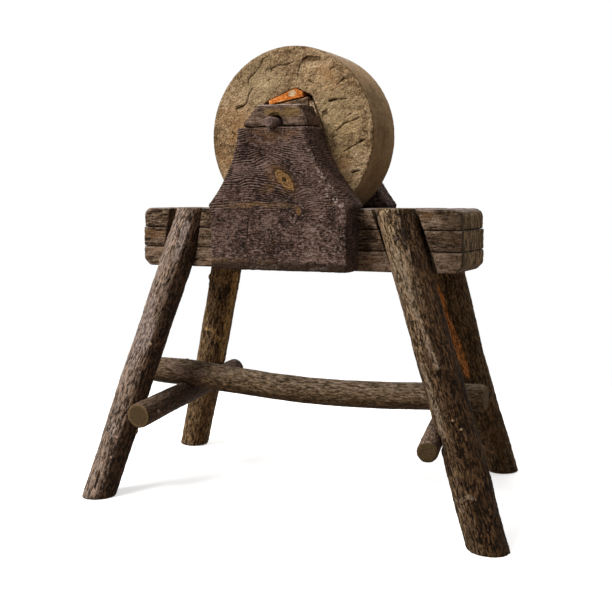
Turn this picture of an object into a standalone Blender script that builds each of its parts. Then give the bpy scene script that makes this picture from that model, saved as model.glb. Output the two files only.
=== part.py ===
"""Hand cranked grindstone on a stand of planks and round logs.

Metres, +Z up. The stone's flat faces look along Y and its axle lies along Y.
The stand is measured from the floor (Z) and from the middle of the beam (X, Y).
"""

import math

import bmesh
import bpy
from mathutils import Matrix, Vector

# Gaps and overruns
FIT_GAP = 0.0003
RUNNING_GAP = 0.0006
CUT_OVERRUN = 0.020
WELD_DISTANCE = 0.00001

# Beam: three planks, one on another, the top one in two lengths
STAND_HEIGHT = 0.744
BEAM_WIDTH = 0.210
PLANK_THICKNESS = 0.052
BEAM_LEFT_REACH = 0.443
BEAM_RIGHT_REACH = 0.451
TOP_PLANK_SETBACK = 0.003
BEAM_TOP_ROUNDING = 0.022
BEAM_HEEL_CHAMFER = 0.018
PLANK_ARRIS = 0.003
TREENAIL_DIAMETER = 0.018
TREENAIL_END_DISTANCE = 0.034
TREENAIL_WELL_DISTANCE = 0.022
TREENAIL_STAGGER = 0.011

# Stone, turning off its own centre after years of wear
STONE_RADIUS = 0.2275
STONE_THICKNESS = 0.162
STONE_EDGE_ROUNDING = 0.004
STONE_RIM_CROWN = 0.001
STONE_DROP = 0.027
STONE_SIDE_CLEARANCE = 0.006
STONE_WELL_CLEARANCE = 0.012

# Eye of the stone, wooden hub and wedges
EYE_SIDE = 0.162
EYE_CORNER_CLIP = 0.034
EYE_TURN_DEGREES = 20.8
HUB_SIDE = 0.123
HUB_PROUD = 0.003
HUB_ARRIS = 0.003
HUB_TURN_DEGREES = 9.9
WEDGE_WIDTH = 0.098
WEDGE_PROUD = 0.004
WEDGE_LEAD_SHARE = 0.86

# Axle
AXLE_DIAMETER = 0.027
AXLE_OFFSET = -0.011
AXLE_SQUARE = 0.029
AXLE_FRONT_PROUD = 0.022
AXLE_END_ROUNDING = 0.002

# Cheeks that carry the axle
CHEEK_THICKNESS = 0.084
CHEEK_RISE = 0.200
CHEEK_HANG = 0.156
CHEEK_FOOT_HALF = 0.188
CHEEK_NECK_HALF = 0.098
CHEEK_SHOULDER_RISE = 0.007
CHEEK_LIP = 0.008
CHEEK_ARRIS = 0.003
CHEEK_WORN_WIDTH = 0.014
CHEEK_WORN_DEPTH = 0.026
CHEEK_LEFT_BEND = 1.95
CHEEK_RIGHT_BENDS = {-1: 1.55, 1: 1.35}
CHEEK_SPIKE_INSET = 0.048
CHEEK_SPIKE_DROP = 0.073
CHEEK_SPIKE_LENGTH = 0.150
AXLE_SEAT_DEPTH = 0.0035

# Bearing caps
CAP_HEIGHT = 0.056
CAP_DEPTH = 0.080
CAP_SETBACK = 0.015
CAP_HALF_LENGTH = 0.089
CAP_LEFT_SLANT = 0.039
CAP_RIGHT_SLANT = 0.018
CAP_END_FACE = 0.012
CAP_ARRIS = 0.003
CAP_DOWEL_DIAMETER = 0.014
CAP_DOWEL_SPREAD = 0.052
CAP_DOWEL_IN_CAP = 0.034
CAP_DOWEL_IN_CHEEK = 0.045

# Legs: the axis meets the beam's top at an end distance, and the floor so far along and out
LEG_TOP_PROUD = 0.006
LEG_FRONT_LEFT_END_DISTANCE = 0.140
LEG_FRONT_LEFT_FOOT_ALONG = 0.141
LEG_FRONT_LEFT_FOOT_OUT = 0.227
LEG_FRONT_LEFT_DIAMETER = 0.087
LEG_FRONT_LEFT_BOW = 0.002
LEG_FRONT_RIGHT_END_DISTANCE = 0.186
LEG_FRONT_RIGHT_FOOT_ALONG = 0.314
LEG_FRONT_RIGHT_FOOT_OUT = 0.219
LEG_FRONT_RIGHT_DIAMETER = 0.097
LEG_FRONT_RIGHT_BOW = 0.003
LEG_REAR_LEFT_END_DISTANCE = 0.200
LEG_REAR_LEFT_FOOT_ALONG = 0.265
LEG_REAR_LEFT_FOOT_OUT = 0.159
LEG_REAR_LEFT_DIAMETER = 0.088
LEG_REAR_LEFT_BOW = -0.005
LEG_REAR_RIGHT_END_DISTANCE = 0.132
LEG_REAR_RIGHT_FOOT_ALONG = 0.140
LEG_REAR_RIGHT_FOOT_OUT = 0.233
LEG_REAR_RIGHT_DIAMETER = 0.088
LEG_REAR_RIGHT_BOW = -0.009
NOTCH_SLACK = 0.009
LEG_SPIKE_DROP = 0.072
LEG_SPIKE_LENGTH = 0.112

# Height share of the stand, girth share and bow share of each ring of a leg
LEG_RING_SHARES = (
    (1.00, 1.00, 0.0),
    (0.78, 1.00, 0.0),
    (0.62, 0.98, 0.6),
    (0.47, 0.97, 1.0),
    (0.33, 0.98, 0.9),
    (0.20, 0.97, 0.6),
    (0.09, 0.96, 0.2),
    (0.00, 0.97, 0.0),
)

# Cross bars let into the inner sides of the legs
BAR_LET_IN = 0.013
BAR_LEFT_FRONT_HEIGHT = 0.218
BAR_LEFT_REAR_HEIGHT = 0.248
BAR_LEFT_FRONT_DIAMETER = 0.066
BAR_LEFT_REAR_DIAMETER = 0.057
BAR_LEFT_FRONT_OVERHANG = 0.052
BAR_LEFT_REAR_OVERHANG = 0.060
BAR_RIGHT_FRONT_HEIGHT = 0.213
BAR_RIGHT_REAR_HEIGHT = 0.247
BAR_RIGHT_FRONT_DIAMETER = 0.050
BAR_RIGHT_REAR_DIAMETER = 0.052
BAR_RIGHT_FRONT_OVERHANG = 0.090
BAR_RIGHT_REAR_OVERHANG = 0.050
BAR_SPIKE_LENGTH = 0.100

# Stretcher: a bowed branch lying on both cross bars
STRETCHER_DIAMETER = 0.072
STRETCHER_PLACE_Y = -0.045
STRETCHER_LEFT_OVERHANG = 0.112
STRETCHER_RIGHT_OVERHANG = 0.107
STRETCHER_SADDLE = 0.012
STRETCHER_SAG = 0.018
STRETCHER_SPIKE_LENGTH = 0.090

# Length share from the left end, sag share and girth share of the branch
STRETCHER_RING_SHARES = (
    (0.000, 0.00, 0.92),
    (0.030, 0.00, 1.00),
    (0.110, 0.00, 1.03),
    (0.240, 0.40, 1.02),
    (0.380, 0.84, 0.99),
    (0.500, 1.00, 0.99),
    (0.610, 0.92, 0.98),
    (0.720, 0.64, 0.98),
    (0.840, 0.16, 0.97),
    (0.920, -0.08, 0.97),
    (0.980, -0.35, 0.95),
    (1.000, -0.42, 0.84),
)

# Forged spikes
SPIKE_DIAMETER = 0.008
SPIKE_HEAD_DIAMETER = 0.012
SPIKE_HEAD_HEIGHT = 0.005
SPIKE_HEAD_SINK = 0.003
SPIKE_POINT = 0.012

# Crank on the rear end of the axle
CRANK_RADIUS = 0.200
CRANK_ARM_THICKNESS = 0.012
CRANK_ARM_CLEARANCE = 0.010
CRANK_BOSS_RADIUS = 0.025
CRANK_TIP_RADIUS = 0.018
CRANK_ARRIS = 0.002
TANG_SQUARE = 0.018
TANG_BEYOND_ARM = 0.024
KEY_THICKNESS = 0.005
KEY_WIDTH = 0.009
KEY_NARROW_WIDTH = 0.006
KEY_LENGTH = 0.052
KEY_HEAD_RISE_SHARE = 0.60
SPINDLE_DIAMETER = 0.013
SPINDLE_RIVET_DIAMETER = 0.021
SPINDLE_RIVET_HEIGHT = 0.003
RIVET_SEAT_SHARE = 0.80
RIVET_TOP_SHARE = 0.50
PEENED_END_SHARE = 0.70
SPINDLE_COLLAR_DIAMETER = 0.024
SPINDLE_COLLAR_HEIGHT = 0.004
GRIP_LENGTH = 0.112
GRIP_END_DIAMETER = 0.029
GRIP_MIDDLE_DIAMETER = 0.037
GRIP_END_ROUNDING = 0.003
GRIP_BORE_GAP = 0.0008
WASHER_DIAMETER = 0.026
WASHER_THICKNESS = 0.003

# Roundness of the meshes
STONE_STEPS = 72
TURNED_STEPS = 24
LOG_BEVEL_RESOLUTION = 6
LOG_SIDES = 4 + 2 * LOG_BEVEL_RESOLUTION
SPIKE_SIDES = 8
ROUND_SIDES = 20
CUTTER_SIDES = 24
ARC_STEPS = 4
FLARE_STEPS = 12
SMOOTH_ANGLE_DEGREES = 35.0
FLAT_ANGLE_DEGREES = 0.5

# Places that follow from the sizes above
BEAM_HALF = BEAM_WIDTH / 2
BEAM_HEIGHT = 3 * PLANK_THICKNESS + 2 * FIT_GAP
BEAM_BOTTOM = STAND_HEIGHT - BEAM_HEIGHT
CHEEK_TOP = STAND_HEIGHT + CHEEK_RISE
CHEEK_OUTER = BEAM_HALF + CHEEK_THICKNESS
CHEEK_INNER = STONE_THICKNESS / 2 + STONE_SIDE_CLEARANCE
AXLE_HEIGHT = CHEEK_TOP - AXLE_SEAT_DEPTH + AXLE_DIAMETER / 2 + RUNNING_GAP
AXLE_CENTRE = Vector((AXLE_OFFSET, 0, AXLE_HEIGHT))
STONE_SWEEP = STONE_RADIUS + STONE_DROP
WELL_HALF = (
    math.sqrt(STONE_SWEEP ** 2 - (AXLE_HEIGHT - STAND_HEIGHT) ** 2)
    + STONE_WELL_CLEARANCE
)
WELL_LEFT = AXLE_OFFSET - WELL_HALF
WELL_RIGHT = AXLE_OFFSET + WELL_HALF
ARM_INNER = CHEEK_OUTER + CRANK_ARM_CLEARANCE
ARM_OUTER = ARM_INNER + CRANK_ARM_THICKNESS
GRIP_CENTRE = AXLE_CENTRE - Vector((0, 0, CRANK_RADIUS))
GRIP_INNER = ARM_OUTER + FIT_GAP + SPINDLE_COLLAR_HEIGHT + RUNNING_GAP
GRIP_OUTER = GRIP_INNER + GRIP_LENGTH

FACING_Y = Matrix.Rotation(math.radians(90), 4, "X")
SIDES = {-1: "front", 1: "rear"}


def clear_scene():
    for obj in list(bpy.data.objects):
        bpy.data.objects.remove(obj, do_unlink=True)


def make_collection(name):
    collection = bpy.data.collections.new(name)
    bpy.context.scene.collection.children.link(collection)
    return collection


def make_material(name, colour, roughness, metallic=0.0):
    material = bpy.data.materials.new(name)
    material.use_nodes = True
    shader = material.node_tree.nodes["Principled BSDF"]
    shader.inputs["Base Color"].default_value = (*colour, 1.0)
    shader.inputs["Roughness"].default_value = roughness
    shader.inputs["Metallic"].default_value = metallic
    material.diffuse_color = (*colour, 1.0)
    return material


def make_empty(name, parent, place, collection):
    empty = bpy.data.objects.new(name, None)
    collection.objects.link(empty)
    empty.parent = parent
    empty.location = place
    bpy.context.view_layer.update()
    return empty


clear_scene()
PARTS = make_collection("grindstone")
CUTTERS = make_collection("cutters")
ROOT = make_empty("stand_origin", None, (0, 0, 0), PARTS)


def planed_wood(name):
    return make_material(name, (0.135, 0.105, 0.070), 0.85)


def cheek_wood(name):
    return make_material(name, (0.120, 0.090, 0.082), 0.88)


def log_wood(name):
    return make_material(name, (0.105, 0.075, 0.055), 0.90)


def fresh_wood(name):
    return make_material(name, (0.520, 0.190, 0.050), 0.70)


def sandstone(name):
    return make_material(name, (0.330, 0.250, 0.150), 0.92)


def rusty_iron(name):
    return make_material(name, (0.090, 0.060, 0.055), 0.72, 0.6)


def side_gap(sides):
    """What a hole's polygon needs over its pin's like one, for a fit gap at the flats."""
    return FIT_GAP / math.cos(math.pi / sides)


def circumscribed(radius, sides=CUTTER_SIDES):
    """Radius whose polygon of that many sides stays outside the circle."""
    return radius / math.cos(math.pi / sides)


def write_mesh(bm, mesh):
    """Turn all faces outwards and put them in the mesh."""
    bm.normal_update()
    bmesh.ops.recalc_face_normals(bm, faces=bm.faces)
    bm.to_mesh(mesh)
    bm.free()


def mesh_object(name, bm, collection):
    mesh = bpy.data.meshes.new(name)
    write_mesh(bm, mesh)
    obj = bpy.data.objects.new(name, mesh)
    collection.objects.link(obj)
    if collection is CUTTERS:
        obj.parent = ROOT
        obj.hide_render = True
        obj.display_type = "WIRE"
    return obj


def smooth(obj):
    obj.data.shade_smooth()
    obj.data.set_sharp_from_angle(angle=math.radians(SMOOTH_ANGLE_DEGREES))


def finish(obj, material, parent, origin, rounded=False):
    """Give a part its finish and set it on its parent with its own origin."""
    obj.data.materials.clear()
    obj.data.materials.append(material)
    if rounded:
        smooth(obj)
    local = origin - obj.matrix_world.translation
    obj.data.transform(Matrix.Translation(-local))
    obj.parent = parent
    obj.location = origin - parent.matrix_world.translation
    return obj


def box(name, low, high, collection=CUTTERS):
    bm = bmesh.new()
    bmesh.ops.create_cube(bm, size=1.0)
    size = Vector(high) - Vector(low)
    middle = (Vector(high) + Vector(low)) / 2
    bmesh.ops.scale(bm, vec=size, verts=bm.verts)
    bmesh.ops.translate(bm, vec=middle, verts=bm.verts)
    return mesh_object(name, bm, collection)


def rod(name, start, end, radius, sides=ROUND_SIDES, tip_radius=None, collection=CUTTERS):
    """Straight round bar between two points, tapering where tip_radius is given."""
    start = Vector(start)
    end = Vector(end)
    bm = bmesh.new()
    bmesh.ops.create_cone(
        bm,
        cap_ends=True,
        segments=sides,
        radius1=radius,
        radius2=radius if tip_radius is None else tip_radius,
        depth=(end - start).length,
    )
    turn = (end - start).to_track_quat("Z", "Y").to_matrix().to_4x4()
    bm.transform(Matrix.Translation((start + end) / 2) @ turn)
    return mesh_object(name, bm, collection)


def curve_to_mesh(curve_object, name, collection, flat_ends=False):
    """Plain welded mesh of a curve, in the curve's place; flat ends become one face each."""
    bpy.context.view_layer.update()
    graph = bpy.context.evaluated_depsgraph_get()
    mesh = bpy.data.meshes.new_from_object(curve_object.evaluated_get(graph))
    bm = bmesh.new()
    bm.from_mesh(mesh)
    bmesh.ops.remove_doubles(bm, verts=bm.verts, dist=WELD_DISTANCE)
    if flat_ends:
        angle = math.radians(FLAT_ANGLE_DEGREES)
        bmesh.ops.dissolve_limit(bm, angle_limit=angle, verts=bm.verts, edges=bm.edges)
    bm.transform(curve_object.matrix_world)
    bpy.data.objects.remove(curve_object, do_unlink=True)
    bpy.data.meshes.remove(mesh)
    return mesh_object(name, bm, collection)


def extruded_outline(name, outline, near_y, far_y, collection=CUTTERS):
    """Flat outline of (x, z) points, given thickness from near_y to far_y."""
    curve = bpy.data.curves.new(name, "CURVE")
    curve.dimensions = "2D"
    curve.fill_mode = "BOTH"
    curve.extrude = (far_y - near_y) / 2
    spline = curve.splines.new("POLY")
    spline.points.add(len(outline) - 1)
    spline.use_cyclic_u = True
    for point, (x, z) in zip(spline.points, outline):
        point.co = (x, z, 0, 1)
    obj = bpy.data.objects.new(name, curve)
    PARTS.objects.link(obj)
    obj.matrix_world = Matrix.Translation((0, (near_y + far_y) / 2, 0)) @ FACING_Y
    return curve_to_mesh(obj, name, collection, flat_ends=True)


def lofted(name, sections, collection):
    """Solid through like outlines of (x, z) points; sections hold (y, outline)."""
    bm = bmesh.new()
    rings = []
    for y, outline in sections:
        rings.append([bm.verts.new((x, y, z)) for x, z in outline])
    for ring in (rings[0], rings[-1]):
        bm.faces.new(ring)
    for ring in rings[1:-1]:
        for first, second in zip(ring, ring[1:] + ring[:1]):
            bm.edges.new((first, second))
    for near, far in zip(rings, rings[1:]):
        loops = [edge for edge in bm.edges if in_ring(edge, near) or in_ring(edge, far)]
        bmesh.ops.bridge_loops(bm, edges=loops)
    return mesh_object(name, bm, collection)


def in_ring(edge, ring):
    return all(vert in ring for vert in edge.verts)


def log(name, points, radii, collection=PARTS):
    """Round log through points, with a girth at each."""
    largest = max(radii)
    curve = bpy.data.curves.new(name, "CURVE")
    curve.dimensions = "3D"
    curve.bevel_depth = largest
    curve.bevel_resolution = LOG_BEVEL_RESOLUTION
    curve.use_fill_caps = True
    spline = curve.splines.new("POLY")
    spline.points.add(len(points) - 1)
    for point, place, radius in zip(spline.points, points, radii):
        point.co = (*place, 1)
        point.radius = radius / largest
    obj = bpy.data.objects.new(name, curve)
    PARTS.objects.link(obj)
    return curve_to_mesh(obj, name, collection)


def turned(name, profile, steps=TURNED_STEPS, closed=False, collection=PARTS):
    """Turned shape about the Y axis; profile holds (radius, y), far end first."""
    bm = bmesh.new()
    ring = [bm.verts.new((radius, 0, along)) for radius, along in profile]
    pairs = list(zip(ring, ring[1:]))
    if closed:
        pairs.append((ring[-1], ring[0]))
    for first, second in pairs:
        bm.edges.new((first, second))
    mesh = bpy.data.meshes.new(name)
    bm.to_mesh(mesh)
    bm.free()
    obj = bpy.data.objects.new(name, mesh)
    PARTS.objects.link(obj)
    screw = obj.modifiers.new("turning", "SCREW")
    screw.steps = steps
    screw.render_steps = steps
    screw.use_merge_vertices = True
    screw.merge_threshold = WELD_DISTANCE
    bpy.context.view_layer.update()
    graph = bpy.context.evaluated_depsgraph_get()
    solid = bpy.data.meshes.new_from_object(obj.evaluated_get(graph))
    bpy.data.objects.remove(obj, do_unlink=True)
    bpy.data.meshes.remove(mesh)
    bm = bmesh.new()
    bm.from_mesh(solid)
    bmesh.ops.remove_doubles(bm, verts=bm.verts, dist=WELD_DISTANCE)
    bm.transform(Matrix.Rotation(math.radians(-90), 4, "X"))
    bpy.data.meshes.remove(solid)
    return mesh_object(name, bm, collection)


def boolean(obj, other, operation="DIFFERENCE"):
    modifier = obj.modifiers.new(other.name, "BOOLEAN")
    modifier.operation = operation
    modifier.object = other
    return modifier


def cut_out(obj, cutters):
    """Take all of the cutters out of a part at one stroke."""
    group = bpy.data.collections.new("cuts_in_" + obj.name)
    CUTTERS.children.link(group)
    for cutter in cutters:
        group.objects.link(cutter)
    modifier = obj.modifiers.new("cuts", "BOOLEAN")
    modifier.operand_type = "COLLECTION"
    modifier.collection = group
    return modifier


def soften(obj, width, angle_degrees=40.0, segments=1):
    bevel = obj.modifiers.new("arris", "BEVEL")
    bevel.width = width
    bevel.segments = segments
    bevel.limit_method = "ANGLE"
    bevel.angle_limit = math.radians(angle_degrees)
    return bevel


def corner_arc(corner, radius, start_degrees):
    """Quarter circle that rounds a corner; corner holds the signs (x, z) and its place."""
    (sign_x, sign_z), (x, z) = corner
    centre_x = x - sign_x * radius
    centre_z = z - sign_z * radius
    points = []
    for step in range(ARC_STEPS + 1):
        angle = math.radians(start_degrees - 90 * step / ARC_STEPS)
        points.append((centre_x + radius * math.cos(angle), centre_z + radius * math.sin(angle)))
    return points


# Legs


class Leg:
    """A round log from the floor up into a slanted notch in the beam's side."""

    def __init__(self, name, outward, side, end_distance, foot_along, foot_out, diameter, bow):
        self.name = name
        self.outward = outward
        self.side = side
        self.radius = diameter / 2
        self.bow = bow
        reach = BEAM_RIGHT_REACH if outward > 0 else BEAM_LEFT_REACH
        top_x = reach - end_distance
        top_y = BEAM_HALF - self.radius + LEG_TOP_PROUD
        self.top = Vector((outward * top_x, side * top_y, STAND_HEIGHT))
        self.foot = Vector((outward * (top_x + foot_along), side * (BEAM_HALF + foot_out), 0))
        self.direction = (self.top - self.foot).normalized()

    def at(self, height):
        return self.foot.lerp(self.top, height / STAND_HEIGHT)

    def rings(self):
        """Place of each ring of the bowed log, from the top down, and its girth share."""
        rings = []
        for height_share, girth_share, bow_share in LEG_RING_SHARES:
            bow = Vector((self.outward * self.bow * bow_share, 0, 0))
            rings.append((self.at(STAND_HEIGHT * height_share) + bow, girth_share))
        return rings

    def bowed_at(self, height):
        for (high, _), (low, _) in zip(self.rings(), self.rings()[1:]):
            if low.z <= height <= high.z:
                return low.lerp(high, (height - low.z) / (high.z - low.z))
        return self.at(height)

    def half_width(self):
        """Half of the leg's width along X, cut level."""
        lean = math.atan2(abs(self.direction.x), self.direction.z)
        return self.radius / math.cos(lean)


LEGS = {
    "front_left": Leg(
        "leg_front_left",
        -1,
        -1,
        LEG_FRONT_LEFT_END_DISTANCE,
        LEG_FRONT_LEFT_FOOT_ALONG,
        LEG_FRONT_LEFT_FOOT_OUT,
        LEG_FRONT_LEFT_DIAMETER,
        LEG_FRONT_LEFT_BOW,
    ),
    "front_right": Leg(
        "leg_front_right",
        1,
        -1,
        LEG_FRONT_RIGHT_END_DISTANCE,
        LEG_FRONT_RIGHT_FOOT_ALONG,
        LEG_FRONT_RIGHT_FOOT_OUT,
        LEG_FRONT_RIGHT_DIAMETER,
        LEG_FRONT_RIGHT_BOW,
    ),
    "rear_left": Leg(
        "leg_rear_left",
        -1,
        1,
        LEG_REAR_LEFT_END_DISTANCE,
        LEG_REAR_LEFT_FOOT_ALONG,
        LEG_REAR_LEFT_FOOT_OUT,
        LEG_REAR_LEFT_DIAMETER,
        LEG_REAR_LEFT_BOW,
    ),
    "rear_right": Leg(
        "leg_rear_right",
        1,
        1,
        LEG_REAR_RIGHT_END_DISTANCE,
        LEG_REAR_RIGHT_FOOT_ALONG,
        LEG_REAR_RIGHT_FOOT_OUT,
        LEG_REAR_RIGHT_DIAMETER,
        LEG_REAR_RIGHT_BOW,
    ),
}


def notch_cutter(leg):
    """Slanted housing: a U open at the beam's side, with slack towards the beam's end."""
    radius = circumscribed(leg.radius + FIT_GAP)
    slack = leg.outward * NOTCH_SLACK
    reach = leg.side * (BEAM_WIDTH + CUT_OVERRUN)
    bm = bmesh.new()
    bmesh.ops.create_circle(bm, cap_ends=True, segments=CUTTER_SIDES, radius=radius)
    for vert in bm.verts:
        if vert.co.x * leg.outward > 0:
            vert.co.x += slack
        if vert.co.y * leg.side > WELD_DISTANCE:
            vert.co.y = reach
    lift = (leg.top - leg.foot).length
    raised = bmesh.ops.extrude_face_region(bm, geom=list(bm.faces))
    verts = [item for item in raised["geom"] if isinstance(item, bmesh.types.BMVert)]
    bmesh.ops.translate(bm, vec=(0, 0, lift), verts=verts)
    along = leg.direction
    across = Vector((1, 0, 0))
    across = (across - along * across.dot(along)).normalized()
    outwards = along.cross(across)
    turn = Matrix((across, outwards, along)).transposed().to_4x4()
    start = leg.foot.lerp(leg.top, 0.5)
    bm.transform(Matrix.Translation(start) @ turn)
    return mesh_object("notch_" + leg.name, bm, CUTTERS)


def cut_level(obj, height, keep_below):
    """Saw a log off level at a height."""
    bm = bmesh.new()
    bm.from_mesh(obj.data)
    bmesh.ops.bisect_plane(
        bm,
        geom=list(bm.verts) + list(bm.edges) + list(bm.faces),
        dist=WELD_DISTANCE,
        plane_co=(0, 0, height),
        plane_no=(0, 0, 1),
        clear_outer=keep_below,
        clear_inner=not keep_below,
    )
    open_edges = [edge for edge in bm.edges if edge.is_boundary]
    bmesh.ops.holes_fill(bm, edges=open_edges, sides=0)
    write_mesh(bm, obj.data)


def build_leg(leg, cutters, parent):
    points = [place for place, _ in leg.rings()]
    radii = [leg.radius * girth_share for _, girth_share in leg.rings()]
    points[0] += leg.direction * BEAM_HEIGHT
    points[-1] -= leg.direction * BEAM_HEIGHT
    obj = log(leg.name, points, radii)
    cut_level(obj, STAND_HEIGHT, keep_below=True)
    cut_level(obj, 0, keep_below=False)
    cut_out(obj, cutters)
    return finish(obj, log_wood(leg.name), parent, leg.top, rounded=True)


# Cross bars and stretcher


class Bar:
    """A cross bar that joins a front and a rear leg on their inner sides."""

    def __init__(self, name, front_leg, rear_leg, heights, diameters, overhangs):
        self.name = name
        self.radii = [diameter / 2 for diameter in diameters]
        self.inward = -front_leg.outward
        self.front_seat = self.seat(front_leg, heights[0], self.radii[0])
        self.rear_seat = self.seat(rear_leg, heights[1], self.radii[1])
        self.direction = (self.rear_seat - self.front_seat).normalized()
        self.front_end = self.front_seat - self.direction * overhangs[0]
        self.rear_end = self.rear_seat + self.direction * overhangs[1]

    def seat(self, leg, height, radius):
        place = leg.bowed_at(height)
        reach = leg.half_width() + radius - BAR_LET_IN
        return Vector((place.x + self.inward * reach, place.y, height))

    def share_at(self, y):
        return (y - self.front_end.y) / (self.rear_end.y - self.front_end.y)

    def at(self, y):
        return self.front_end.lerp(self.rear_end, self.share_at(y))

    def radius_at(self, y):
        share = self.share_at(y)
        return self.radii[0] + (self.radii[1] - self.radii[0]) * share


BARS = {
    "left": Bar(
        "cross_bar_left",
        LEGS["front_left"],
        LEGS["rear_left"],
        (BAR_LEFT_FRONT_HEIGHT, BAR_LEFT_REAR_HEIGHT),
        (BAR_LEFT_FRONT_DIAMETER, BAR_LEFT_REAR_DIAMETER),
        (BAR_LEFT_FRONT_OVERHANG, BAR_LEFT_REAR_OVERHANG),
    ),
    "right": Bar(
        "cross_bar_right",
        LEGS["front_right"],
        LEGS["rear_right"],
        (BAR_RIGHT_FRONT_HEIGHT, BAR_RIGHT_REAR_HEIGHT),
        (BAR_RIGHT_FRONT_DIAMETER, BAR_RIGHT_REAR_DIAMETER),
        (BAR_RIGHT_FRONT_OVERHANG, BAR_RIGHT_REAR_OVERHANG),
    ),
}


def bar_cutter(bar):
    """The bar's own taper, a fit gap larger, for the seats in legs and stretcher."""
    beyond = bar.direction * CUT_OVERRUN
    return rod(
        "seat_of_" + bar.name,
        bar.front_end - beyond,
        bar.rear_end + beyond,
        circumscribed(bar.radii[0] + 2 * FIT_GAP, LOG_SIDES),
        LOG_SIDES * 2,
        circumscribed(bar.radii[1] + 2 * FIT_GAP, LOG_SIDES),
    )


def build_bar(bar, cutters, parent):
    middle = bar.front_end.lerp(bar.rear_end, 0.5)
    middle_radius = (bar.radii[0] + bar.radii[1]) / 2
    obj = log(
        bar.name,
        [bar.front_end, middle, bar.rear_end],
        [bar.radii[0], middle_radius, bar.radii[1]],
    )
    cut_out(obj, cutters)
    return finish(obj, log_wood(bar.name), parent, middle, rounded=True)


def stretcher_seat_height(bar):
    """Height of the stretcher's axis where it lies on a cross bar."""
    crossing = bar.at(STRETCHER_PLACE_Y)
    bar_radius = bar.radius_at(STRETCHER_PLACE_Y)
    return crossing.z + bar_radius + STRETCHER_DIAMETER / 2 - STRETCHER_SADDLE


def stretcher_axis_height(x):
    """Straight line over both seats, before the branch's sag."""
    left = BARS["left"].at(STRETCHER_PLACE_Y).x
    right = BARS["right"].at(STRETCHER_PLACE_Y).x
    low = stretcher_seat_height(BARS["left"])
    high = stretcher_seat_height(BARS["right"])
    return low + (high - low) * (x - left) / (right - left)


def build_stretcher(cutters, parent):
    points = []
    radii = []
    left = BARS["left"].at(STRETCHER_PLACE_Y).x - STRETCHER_LEFT_OVERHANG
    right = BARS["right"].at(STRETCHER_PLACE_Y).x + STRETCHER_RIGHT_OVERHANG
    for along_share, sag_share, girth_share in STRETCHER_RING_SHARES:
        x = left + (right - left) * along_share
        z = stretcher_axis_height(x) - STRETCHER_SAG * sag_share
        points.append((x, STRETCHER_PLACE_Y, z))
        radii.append(STRETCHER_DIAMETER / 2 * girth_share)
    obj = log("stretcher", points, radii)
    cut_out(obj, cutters)
    origin = Vector((0, STRETCHER_PLACE_Y, stretcher_axis_height(0)))
    return finish(obj, log_wood("stretcher"), parent, origin, rounded=True)


# Spikes, treenails and dowels


def spike_solid(name, head, direction, profile, collection):
    """Turned spike or hole, set on the wood at its head and pointing along direction."""
    obj = turned(name, profile, SPIKE_SIDES, collection=collection)
    turn = (-Vector(direction)).to_track_quat("Y", "Z").to_matrix().to_4x4()
    obj.data.transform(Matrix.Translation(head) @ turn)
    return obj


def spike(name, head, direction, length):
    """Forged spike: a low head sunk in the wood, a round shank and a drawn point."""
    radius = SPIKE_DIAMETER / 2
    top = SPIKE_HEAD_HEIGHT - SPIKE_HEAD_SINK
    profile = (
        (0, top),
        (radius, top),
        (SPIKE_HEAD_DIAMETER / 2, top - SPIKE_HEAD_HEIGHT / 2),
        (SPIKE_HEAD_DIAMETER / 2, -SPIKE_HEAD_SINK),
        (radius, -SPIKE_HEAD_SINK),
        (radius, SPIKE_POINT - length),
        (0, -length),
    )
    return spike_solid(name, head, direction, profile, PARTS)


def spike_hole(name, head, direction, length):
    gap = side_gap(SPIKE_SIDES)
    shank = SPIKE_DIAMETER / 2 + gap
    recess = SPIKE_HEAD_DIAMETER / 2 + gap
    profile = (
        (0, CUT_OVERRUN),
        (recess, CUT_OVERRUN),
        (recess, -SPIKE_HEAD_SINK - FIT_GAP),
        (shank, -SPIKE_HEAD_SINK - FIT_GAP),
        (shank, -length - FIT_GAP),
        (0, -length - FIT_GAP),
    )
    return spike_solid("hole_" + name, head, direction, profile, CUTTERS)


def drive_spikes(places, parent):
    """Every spike of a set; places maps its name to (head, direction, length)."""
    holes = {}
    for name, (head, direction, length) in places.items():
        obj = spike(name, head, direction, length)
        finish(obj, rusty_iron(name), parent, Vector(head), rounded=True)
        holes[name] = spike_hole(name, head, direction, length)
    return holes


def cheek_spike_places():
    height = STAND_HEIGHT - CHEEK_SPIKE_DROP
    places = {}
    for side, depth_name in SIDES.items():
        for way, hand in ((-1, "left"), (1, "right")):
            x = way * (CHEEK_FOOT_HALF - CHEEK_SPIKE_INSET)
            head = (x, side * CHEEK_OUTER, height)
            name = f"cheek_spike_{depth_name}_{hand}"
            places[name] = (head, (0, -side, 0), CHEEK_SPIKE_LENGTH)
    return places


def leg_spike_places():
    places = {}
    for corner, leg in LEGS.items():
        place = leg.at(STAND_HEIGHT - LEG_SPIKE_DROP)
        lean = math.atan2(abs(leg.direction.y), leg.direction.z)
        head = place + Vector((0, leg.side * leg.radius / math.cos(lean), 0))
        places["leg_spike_" + corner] = (head, (0, -leg.side, 0), LEG_SPIKE_LENGTH)
    return places


def bar_spike_places():
    places = {}
    for hand, bar in BARS.items():
        seats = {"front": bar.front_seat, "rear": bar.rear_seat}
        for depth_name, seat in seats.items():
            head = seat + Vector((bar.inward * bar.radius_at(seat.y), 0, 0))
            name = f"bar_spike_{depth_name}_{hand}"
            places[name] = (head, (-bar.inward, 0, 0), BAR_SPIKE_LENGTH)
    return places


def stretcher_spike_places():
    places = {}
    for hand, bar in BARS.items():
        crossing = bar.at(STRETCHER_PLACE_Y)
        height = stretcher_axis_height(crossing.x) + STRETCHER_DIAMETER / 2
        head = (crossing.x, crossing.y, height)
        places["stretcher_spike_" + hand] = (head, (0, 0, -1), STRETCHER_SPIKE_LENGTH)
    return places


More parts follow.
